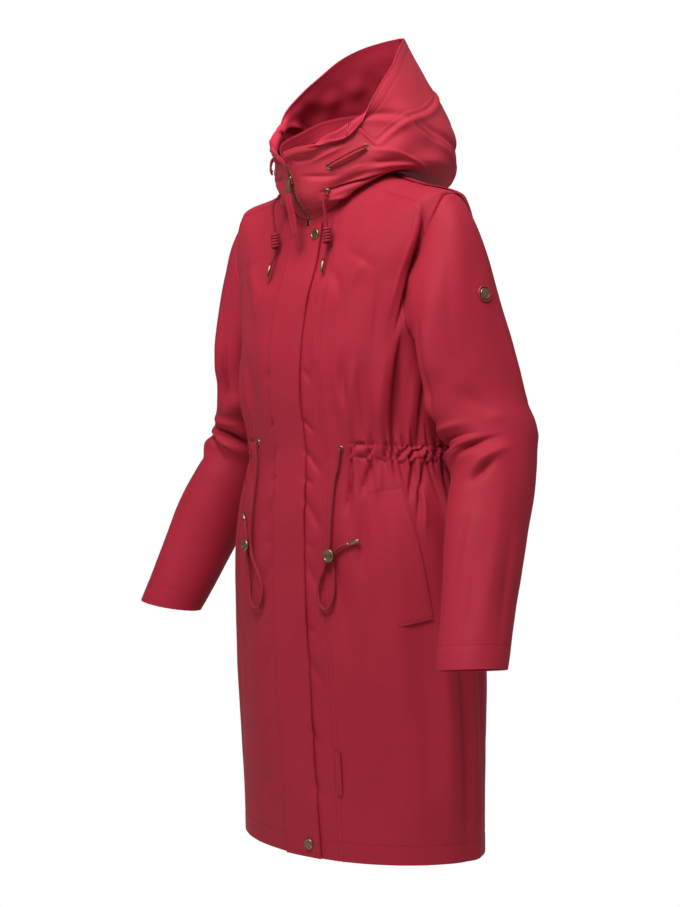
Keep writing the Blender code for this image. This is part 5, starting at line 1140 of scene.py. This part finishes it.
TAG_LIFT, TAG_WIDE, TAG_TOP, TAG_LOW, TAG_THICK = 0.9 * MM, 8.5 * MM, -74.9, -80.3, 1.2 * MM
tag_cloth = woven("polyester_tag_cloth", "9c1d2e", "921828")
tag_levels, tag_out = np.meshgrid(np.linspace(TAG_LOW, TAG_TOP, 40), np.linspace(0, 1, 12), indexing="ij")
tag_x = between(CLOSURE, tag_levels)[..., 1] * CM + 0.4 * MM + TAG_WIDE * tag_out
tag_angles = front_angle(tag_x, tag_levels)
normals = body_normal(tag_angles, tag_levels)
points = body_plain(tag_angles, tag_levels) + normals * (relief(tag_angles, tag_levels) + TAG_LIFT + TAG_THICK
                                                         + 0.8 * MM * tag_out ** 2)[..., None]
piece = wall("side_tag_cloth", points, points - normals * TAG_THICK, (tag_cloth,))
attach(piece, "coat")
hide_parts("side_tag")


# ================================================================ zip
# A closed-end moulded zip in brass finish: two woven tapes behind the fronts, teeth 1.7 mm apart, a slider at
# the throat of the hood with a hinged tab, a bar, and a doubled ribbon of shell cloth through it.
ZIP_END, ZIP_DEPTH, ZIP_NECK_DEPTH = -86.5, 2.7 * MM, 3.2 * MM
ZIP_HOOD_STATIONS = (0.35, 0.7, 1.1, 1.7, 2.4, 3.1, 3.8, 4.1)
TAPE_HALF, TAPE_THICK = 9 * MM, 1.0 * MM
TOOTH_PITCH, TOOTH_SIZE = 1.7 * MM, (3.1 * MM, 0.95 * MM, 2.0 * MM)


def zip_line(x, depth):
    """A line up the zip at this x, behind the two fronts and then the hood's front edges."""
    levels = np.concatenate([[ZIP_END], np.linspace(-82, -1.2, 60)])
    low = shell(front_angle(np.full(len(levels), x), levels), levels, np.full(len(levels), -depth))
    neck = body_plain(front_angle(np.float64(x), NECK_LEVEL), NECK_LEVEL)
    neck = neck + np.array((0, ZIP_NECK_DEPTH + depth - ZIP_DEPTH, 0))
    stations = np.interp(np.linspace(0, 7, 40), range(8), ZIP_HOOD_STATIONS)
    high = hood(hood_angle(np.full(len(stations), x), stations), stations, np.full(len(stations), -depth))
    return np.concatenate([low, neck[None], high])


tape_cloth = woven("woven_zip_tape", "6e1420", "5e0f1a", weave=0.3)
across = np.linspace(-TAPE_HALF, TAPE_HALF, 9)
front_side = np.stack([zip_line(x, ZIP_DEPTH) for x in across], 1)
rear_side = np.stack([zip_line(x, ZIP_DEPTH + TAPE_THICK) for x in across], 1)
tape = wall("zip_tape_cloth", front_side, rear_side, (tape_cloth,))
dressed(tape, "zip_tape")

old_brass, tree, shader = plain_finish("antique_brass", "8a6a50", 0.38, 1.0)
place = node(tree, "ShaderNodeTexCoord").outputs["Object"]
wear = node(tree, "ShaderNodeTexNoise", {"Vector": place, "Scale": 260.0, "Detail": 5.0}).outputs["Fac"]
tone = node(tree, "ShaderNodeMix", {"Factor": wear, "A": rgb("5e4636"), "B": rgb("a98a6c")}, data_type="RGBA")
tree.links.new(tone.outputs["Result"], shader.inputs["Base Color"])
rough = node(tree, "ShaderNodeMapRange", {"Value": wear, "To Min": 0.28, "To Max": 0.5}).outputs["Result"]
tree.links.new(rough, shader.inputs["Roughness"])


def tooth(tree):
    """One tooth of the zip: a small block, bevelled by its smooth shading."""
    return node(tree, "GeometryNodeMeshCube", {"Size": (1.0, 1.0, 1.0)}).outputs[0]


teeth_tree = rows_tree("teeth", (TOOTH_SIZE[1], TOOTH_SIZE[0], TOOTH_SIZE[2]), old_brass, tooth)
middle = zip_line(0.0, ZIP_DEPTH - 1.0 * MM)
teeth = [middle + np.array((x, 0, 0)) for x in (-0.7 * MM, 0.7 * MM)]
set_in_rows("zip_teeth", [teeth[0], teeth[1][1:]], teeth_tree, TOOTH_PITCH, "coat")


def box_of(name):
    """A solid's middle and half size."""
    low, high = (np.array(corner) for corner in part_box(name))
    return (low + high) / 2, (high - low) / 2


def finished_metal(piece, solid, body="coat"):
    """A metal piece takes its solid's place and body."""
    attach(piece, body)
    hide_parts(solid)


for solid in ("zip_slider", "zip_pull_tab", "zip_pull_bar"):
    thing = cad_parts[solid]
    thing.data.materials.clear()
    thing.data.materials.append(old_brass)

RIBBON_HALF, RIBBON_LONG, RIBBON_THICK = 6.2 * MM, 56 * MM, 2.6 * MM
RIBBON_LEAN = np.array((0.06, 0.16, -1)) / math.hypot(0.06, 0.16, 1)
bar_middle, bar_half = box_of("zip_pull_bar")
ribbon_top = np.array((bar_middle[0], bar_middle[1], bar_middle[2] - bar_half[2] - 0.3 * MM))
down = np.linspace(0, 1, 70)[:, None]
sideways = np.linspace(-1, 1, 25)[None]
heading = unit(np.array((0, 0, -1.0)) * (1 - np.minimum(down * 2, 1)) + RIBBON_LEAN * np.minimum(down * 2, 1))
centre = ribbon_top + heading * RIBBON_LONG * down
half = RIBBON_HALF * (1 + 0.1 * np.sin(down[..., 0] * np.pi))
fold = 0.6 * MM * np.abs(sideways) ** 4 + 0.5 * MM * np.cos(2 * np.pi * sideways)
flat = 0 * half[:, None]
face = centre[:, None] + np.stack([half[:, None] * sideways, flat + fold, flat * sideways], -1)
thickness = np.array((0, RIBBON_THICK / 2, 0))
pressed = np.array((0, 0.9 * MM, 0)) * (np.abs(sideways) ** 3)[..., None]
ribbon = wall("zip_pull_cloth", face - thickness, face + thickness - pressed, (shell_cloth,))
dressed(ribbon, "zip_pull_ribbon", body="zip_pull")
ribbon_lines = [lane(face - thickness, edge, 1.4) for edge in ("left", "right", "high")]
stitched("zip_pull_stitching", ribbon_lines, body="zip_pull")


# ================================================================ eyelets, snaps, badge, locks and tips
# Small pressed and turned fittings in the same antique brass: eyelets clinched through the cloth, ring-snap
# caps, a plain sewn badge in a rubber ring, cord-lock discs, and the crimped tips of the cords.
# Profiles are radius and height in millimetres, foot first.
EYELET_PROFILE = ((2.6, 0.2), (2.5, 0.7), (2.8, 1.25), (3.4, 1.5), (4.1, 1.25), (4.55, 0.6), (4.7, 0.0))
SNAP_PROFILE = ((0, 1.7), (3.6, 1.75), (4.2, 1.6), (4.6, 1.8), (5.0, 2.3), (5.8, 2.4), (6.6, 2.0), (7.2, 1.1),
                (7.4, 0.0))
BADGE_PROFILE = ((0, 1.7), (4.6, 1.75), (5.1, 1.65), (5.5, 1.9), (5.9, 2.3), (6.7, 2.4), (7.4, 1.8),
                 (7.7, 0.0))
RING_PROFILE = ((8.2, 0.0), (8.3, 0.9), (8.8, 1.5), (9.6, 1.65), (10.4, 1.3), (10.8, 0.6), (10.9, 0.0))
LOCK_PROFILE = ((0, 4.3), (4.8, 4.2), (5.3, 4.05), (5.6, 4.6), (6.4, 4.9), (7.6, 4.7), (8.4, 3.8), (8.5, 1.0),
                (7.6, 0.1), (0, 0.0))


def turned(name, profile, foot, outward, finish, steps=48):
    """A round piece turned from its profile, standing at its foot along outward. An open foot is closed."""
    outward = unit(np.asarray(outward, float))
    side = unit(np.cross(outward, (0.31, 0.2, 0.93)))
    other = np.cross(outward, side)
    around = np.linspace(0, 2 * np.pi, steps + 1)[:-1]
    ring = np.cos(around)[:, None] * side + np.sin(around)[:, None] * other
    points = [np.asarray(foot) + outward * high * MM + ring * radius * MM for radius, high in profile]
    rings = len(profile)
    points = np.concatenate(points)
    faces = []
    for k in range(rings):
        low, high = k * steps, (k + 1) % rings * steps
        if k == rings - 1 and profile[0][0] == 0:
            if profile[-1][0] > 0:
                faces.append([low + i for i in range(steps)])
            break
        for i in range(steps):
            n = (i + 1) % steps
            faces.append([low + i, low + n, high + n, high + i])
    thing = object_of(name, points.tolist(), faces, (finish,))
    tidy(thing)
    return thing


def tidy(thing):
    """Points that share a place are merged, and the faces turned outwards."""
    shape = bmesh.new()
    shape.from_mesh(thing.data)
    bmesh.ops.remove_doubles(shape, verts=shape.verts, dist=1e-6)
    bmesh.ops.recalc_face_normals(shape, faces=shape.faces)
    if shape.calc_volume(signed=True) < 0:
        bmesh.ops.reverse_faces(shape, faces=shape.faces)
    shape.to_mesh(thing.data)
    shape.free()
    thing.data.shade_smooth()
    thing.data.set_sharp_from_angle(angle=math.radians(50))


EYELETS = (  # name, piece, side, angle, station or level
    ("lace_high", "hood", 1, 53.4, 3.02), ("lace_low", "hood", 1, 30.3, 3.08),
    ("neck", "hood", 1, 24.0, 1.75),
    ("lace_high", "hood", -1, 53.4, 3.02), ("lace_low", "hood", -1, 31.5, 3.00),
    ("neck", "hood", -1, 28.0, 1.70),
    ("waist", "front", 1, 29.6, -36.3), ("waist", "front", -1, 28.4, -35.8),
)


def on_cloth(piece, side, angle, at):
    """A place on the hood or the body and its outward direction."""
    angle, at = np.float64(angle), np.float64(at)
    if piece == "hood":
        place, outward = hood(angle, at, np.float64(0)), hood_normal(angle, at)
    else:
        place, outward = shell(angle, at, np.float64(0)), body_normal(angle, at)
    return mirror(place, side), mirror(outward, side)


eyelet_at = {}
for label, piece, side, angle, at in EYELETS:
    place, outward = on_cloth(piece, side, angle, at)
    eyelet_at[label, side] = (place, outward)
    seat = place + outward * 0.2 * MM
    ring = turned(f"eyelet_ring_{label}_{side_name(side)}", EYELET_PROFILE, seat, outward, old_brass)
    finished_metal(ring, f"eyelet_{label}_{side_name(side)}")

for solid, x, level in (("snap_top", 1.84, -1.35), ("snap_bottom", 3.3, -87.0)):
    angle = float(front_angle(np.float64(x * CM), level))
    outward = body_normal(np.float64(angle), max(level, HEM_LEVEL + 0.1))
    middle, half = box_of(solid)
    cap = turned(f"{solid}_cap", SNAP_PROFILE, middle - outward * 0.9 * MM, outward, old_brass)
    finished_metal(cap, solid)

BADGE_RUN, BADGE_TURN = -0.33, 196.0
badge_out = sleeve_normal(np.float64(BADGE_RUN), np.float64(BADGE_TURN), 1)
badge_at = sleeve_plain(np.float64(BADGE_RUN), np.float64(BADGE_TURN), 1)
badge_rise = float(sleeve_relief(np.float64(BADGE_RUN), np.float64(BADGE_TURN), 1))
badge_at = badge_at + badge_out * (badge_rise + 0.4 * MM)
badge = turned("badge_disc", BADGE_PROFILE, badge_at, badge_out, old_brass)
finished_metal(badge, "sleeve_badge")
soft_rubber, _, _ = plain_finish("moulded_rubber", "8e1a28", 0.45)
badge_ring = turned("badge_ring", RING_PROFILE, badge_at, badge_out, soft_rubber)
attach(badge_ring, "coat")
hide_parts("sleeve_badge_ring")


# ================================================================ cords
# Round braided polyester cord. A waist cord comes out of its eyelet each side, through its lock, round a loop
# and back through the lock to its free end. A neck cord hangs from its eyelet through a barrel knot.
WAIST_CORD, NECK_CORD, LACE = 4.4 * MM, 3.8 * MM, 3.0 * MM
CORD_OUT, BRAID_PITCH = 5.0 * MM, 2.4 * MM
# angle, level of the cord's middle, from eyelet to free end
WAIST_ROUTES = {
    1: ((29.1, -37.3), (27.9, -38.6), (25.8, -40.2), (23.6, -43.2), (22.2, -46.4), (21.4, -49.0),
        (19.7, -50.9),
        (17.0, -52.7), (15.9, -54.5), (17.1, -56.0), (19.4, -56.6), (21.8, -56.0), (23.2, -54.3),
        (23.3, -52.2),
        (23.2, -50.3), (24.6, -49.0), (27.2, -48.4), (30.2, -48.1)),
    -1: ((27.6, -36.9), (26.2, -38.4), (24.8, -41.0), (23.8, -45.0), (23.7, -48.6), (21.2, -50.8),
         (17.0, -52.5),
         (13.9, -54.2), (13.6, -56.0), (16.2, -57.3), (20.0, -57.4), (23.4, -56.2), (25.3, -53.8),
         (25.9, -51.2),
         (26.0, -49.1), (27.6, -47.8), (29.8, -46.8), (31.8, -46.1)),
}
NECK_ROUTES = {  # x, y, z in centimetres, on the wearer's left
    1: ((4.72, -8.05, -3.0), (4.85, -8.2, -3.7), (4.9, -7.95, -5.2), (4.88, -7.62, -7.0), (4.86, -7.55, -8.6),
        (4.84, -7.8, -10.2), (4.8, -8.12, -11.4)),
    -1: ((5.45, -7.7, -3.1), (5.6, -7.95, -3.9), (5.6, -7.85, -5.6), (5.55, -7.6, -7.6), (5.5, -7.6, -9.2),
         (5.55, -7.85, -10.6), (5.75, -8.15, -11.6)),
}
# radius as a share of the tip's, height in millimetres
TIP_PROFILE = ((0, 0.2), (1.0, 0.1), (1.0, 0.6), (0.86, 0.9), (0.86, 2.4), (1.0, 2.7), (1.0, 15.4),
               (0.9, 16.4), (0.6, 17.0), (0, 17.0))

braided, tree, shader = plain_finish("braided_polyester_cord", "981f30", 0.75)
uv = node(tree, "ShaderNodeTexCoord").outputs["UV"]
strands = []
for turn in (1, -1):
    bent = node(tree, "ShaderNodeMapping", {"Vector": uv, "Rotation": (0, 0, turn * math.radians(45))})
    wave = node(tree, "ShaderNodeTexWave",
                {"Vector": bent.outputs[0], "Scale": 2 * math.pi / (20 * BRAID_PITCH) * 2.0})
    strands.append(wave.outputs["Fac"])
# The braid's colour runs from dark where its strands dip to light on their crowns, following the heights of
# its bump: painted shade in the grooves between strands.
weave = node(tree, "ShaderNodeMath", {0: strands[0], 1: strands[1]}, operation="MAXIMUM").outputs[0]
shades = {"Factor": weave, "A": rgb("640e1b"), "B": rgb("9c2232")}
tone = node(tree, "ShaderNodeMix", shades, data_type="RGBA")
tree.links.new(tone.outputs["Result"], shader.inputs["Base Color"])
lumps = node(tree, "ShaderNodeBump", {"Height": weave, "Strength": 0.6, "Distance": 0.4 * MM})
tree.links.new(lumps.outputs["Normal"], shader.inputs["Normal"])
shader.inputs["Specular IOR Level"].default_value = 0.25


def even_line(points, step):
    """Points about a step apart on a smooth curve through the given ones."""
    points = np.asarray(points, float)
    run = np.concatenate([[0], np.cumsum(np.linalg.norm(np.diff(points, axis=0), axis=1))])
    fine = between(np.column_stack([run, points]), np.linspace(0, run[-1], 900))
    run = np.concatenate([[0], np.cumsum(np.linalg.norm(np.diff(fine, axis=0), axis=1))])
    want = np.linspace(0, run[-1], max(int(run[-1] / step), 4) + 1)
    return np.stack([np.interp(want, run, fine[:, k]) for k in range(3)], 1)


def tube(name, line, radius, finish, sides=14):
    """A round tube along a line, its frame carried along without twist and its ends closed."""
    tangent = unit(np.gradient(line, axis=0))
    side = unit(np.cross(tangent[0], (0.3, 0.5, 0.8)))
    sides_of = []
    for t in tangent:
        side = unit(side - t * (side @ t))
        sides_of.append(side)
    side = np.array(sides_of)
    other = np.cross(tangent, side)
    around = np.linspace(0, 2 * np.pi, sides + 1)[None, :, None]
    radius = np.broadcast_to(np.asarray(radius, float), len(line))[:, None, None]
    rings = line[:, None] + radius * (np.cos(around) * side[:, None] + np.sin(around) * other[:, None])
    count, columns = rings.shape[:2]
    grid = np.arange(count * columns).reshape(count, columns)
    faces = np.stack([grid[:-1, :-1], grid[:-1, 1:], grid[1:, 1:], grid[1:, :-1]], -1).reshape(-1, 4).tolist()
    faces += [grid[0, :-1].tolist()[::-1], grid[-1, :-1].tolist()]
    thing = object_of(name, rings.reshape(-1, 3).tolist(), faces, (finish,))
    around_it = np.broadcast_to(np.linspace(0, sides * 0.9 * MM, columns)[None], (count, columns))
    along_it = np.broadcast_to(lengths_across(line[:, None], 0), (count, columns))
    metres = np.stack([around_it, along_it], -1)
    corners = np.empty(len(thing.data.loops), np.int32)
    thing.data.loops.foreach_get("vertex_index", corners)
    thing.data.uv_layers.new(name="cloth").data.foreach_set("uv", metres.reshape(-1, 2)[corners].ravel())
    shape = bmesh.new()
    shape.from_mesh(thing.data)
    bmesh.ops.remove_doubles(shape, verts=shape.verts, dist=1e-6)
    bmesh.ops.recalc_face_normals(shape, faces=shape.faces)
    shape.to_mesh(thing.data)
    shape.free()
    thing.data.shade_smooth()
    return thing


def lead_out(label, side):
    """A cord's first points, out through its eyelet."""
    place, outward = eyelet_at[label, side]
    drop = np.array((0, 0, -1.0))
    return [place + outward * 1.5 * MM, place + outward * 3.4 * MM + drop * 0.3 * MM,
            place + outward * 4.8 * MM + drop * 2.2 * MM]


def tip_on(name, line, radius, solid):
    """The crimped metal tip over a cord's end."""
    middle, _ = box_of(solid)
    direction = unit(middle - line[-1])
    profile = [(r * radius / MM, h) for r, h in TIP_PROFILE]
    piece = turned(name, profile, line[-1] + direction * 0.5 * MM, direction, old_brass, steps=28)
    finished_metal(piece, solid)
    return piece


KNOT_RADIUS, KNOT_LONG, KNOT_TURNS, WRAP = 4.3 * MM, 23 * MM, 5, 1.85 * MM
for side in (1, -1):
    who = side_name(side)
    out = np.float64(CORD_OUT)
    route = [mirror(shell(np.float64(a), np.float64(z), out), side) for a, z in WAIST_ROUTES[side]]
    line = even_line(lead_out("waist", side) + route, 1.2 * MM)
    rope = tube(f"waist_drawcord_{who}", line, WAIST_CORD / 2, braided)
    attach(rope, "coat")
    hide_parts(f"waist_cord_{who}")
    tip = tip_on(f"waist_tip_cap_{who}", line, 2.5 * MM, f"waist_tip_{who}")
    middle, _ = box_of(f"waist_lock_{who}")
    lock_angle, lock_level = {1: (22.4, -49.6), -1: (24.8, -49.2)}[side]
    outward = mirror(body_normal(np.float64(lock_angle), np.float64(lock_level)), side)
    lock = turned(f"waist_lock_disc_{who}", LOCK_PROFILE, middle - outward * 2.3 * MM, outward, old_brass)
    finished_metal(lock, f"waist_lock_{who}")

    route = [mirror(np.array(point) * CM, side) for point in NECK_ROUTES[side]]
    line = even_line(lead_out("neck", side) + route, 1.0 * MM)
    rope = tube(f"neck_drawcord_{who}", line, NECK_CORD / 2, braided)
    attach(rope, "coat")
    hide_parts(f"neck_cord_{who}")
    tip = tip_on(f"neck_tip_cap_{who}", line, 2.2 * MM, f"neck_tip_{who}")
    middle, _ = box_of(f"neck_knot_{who}")
    near = int(np.argmin(np.linalg.norm(line - middle, axis=1)))
    axis = unit(line[near - 8] - line[near + 8])
    first = unit(np.cross(axis, (1.0, 0.2, 0)))
    second = np.cross(axis, first)
    t = np.linspace(0, 1, 40 * KNOT_TURNS)
    spin = 2 * np.pi * KNOT_TURNS * t
    coil = line[near] + axis * ((t - 0.5) * (KNOT_LONG - 2 * WRAP))[:, None] * 1.0
    coil = coil + (first * np.cos(spin)[:, None] + second * np.sin(spin)[:, None]) * KNOT_RADIUS
    knot = tube(f"neck_barrel_knot_{who}", coil, WRAP, braided, sides=12)
    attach(knot, "coat")
    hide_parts(f"neck_knot_{who}")


# ================================================================ neck laces
# Two strands of thin cord cross the cowl each side, from one eyelet to the next.
LACE_SIDE, LACE_OUT = 1.8 * MM, 4.4 * MM
for side in (1, -1):
    high, low = [row for row in EYELETS if row[1] == "hood" and row[2] == side][:2]
    for label, turn in (("upper", 1), ("lower", -1)):
        route = []
        for t in (0, 0.12, 0.3, 0.5, 0.7, 0.88, 1):
            angle = np.float64(high[3] + (low[3] - high[3]) * t)
            station = np.float64(high[4] + (low[4] - high[4]) * t)
            spread = LACE_SIDE * (1 + 0.25 * math.sin(math.pi * t))
            up = unit(hood(angle, station + 0.1, np.float64(0)) - hood(angle, station - 0.1, np.float64(0)))
            bow = np.float64(LACE_OUT + 1.5 * MM * math.sin(math.pi * t))
            route.append(mirror(hood(angle, station, bow) + up * spread * turn, side))
        line = even_line(route, 1.0 * MM)
        lace = tube(f"neck_lace_cord_{label}_{side_name(side)}", line, LACE / 2, braided, sides=12)
        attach(lace, "coat")
        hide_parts(f"neck_lace_{label}_{side_name(side)}")
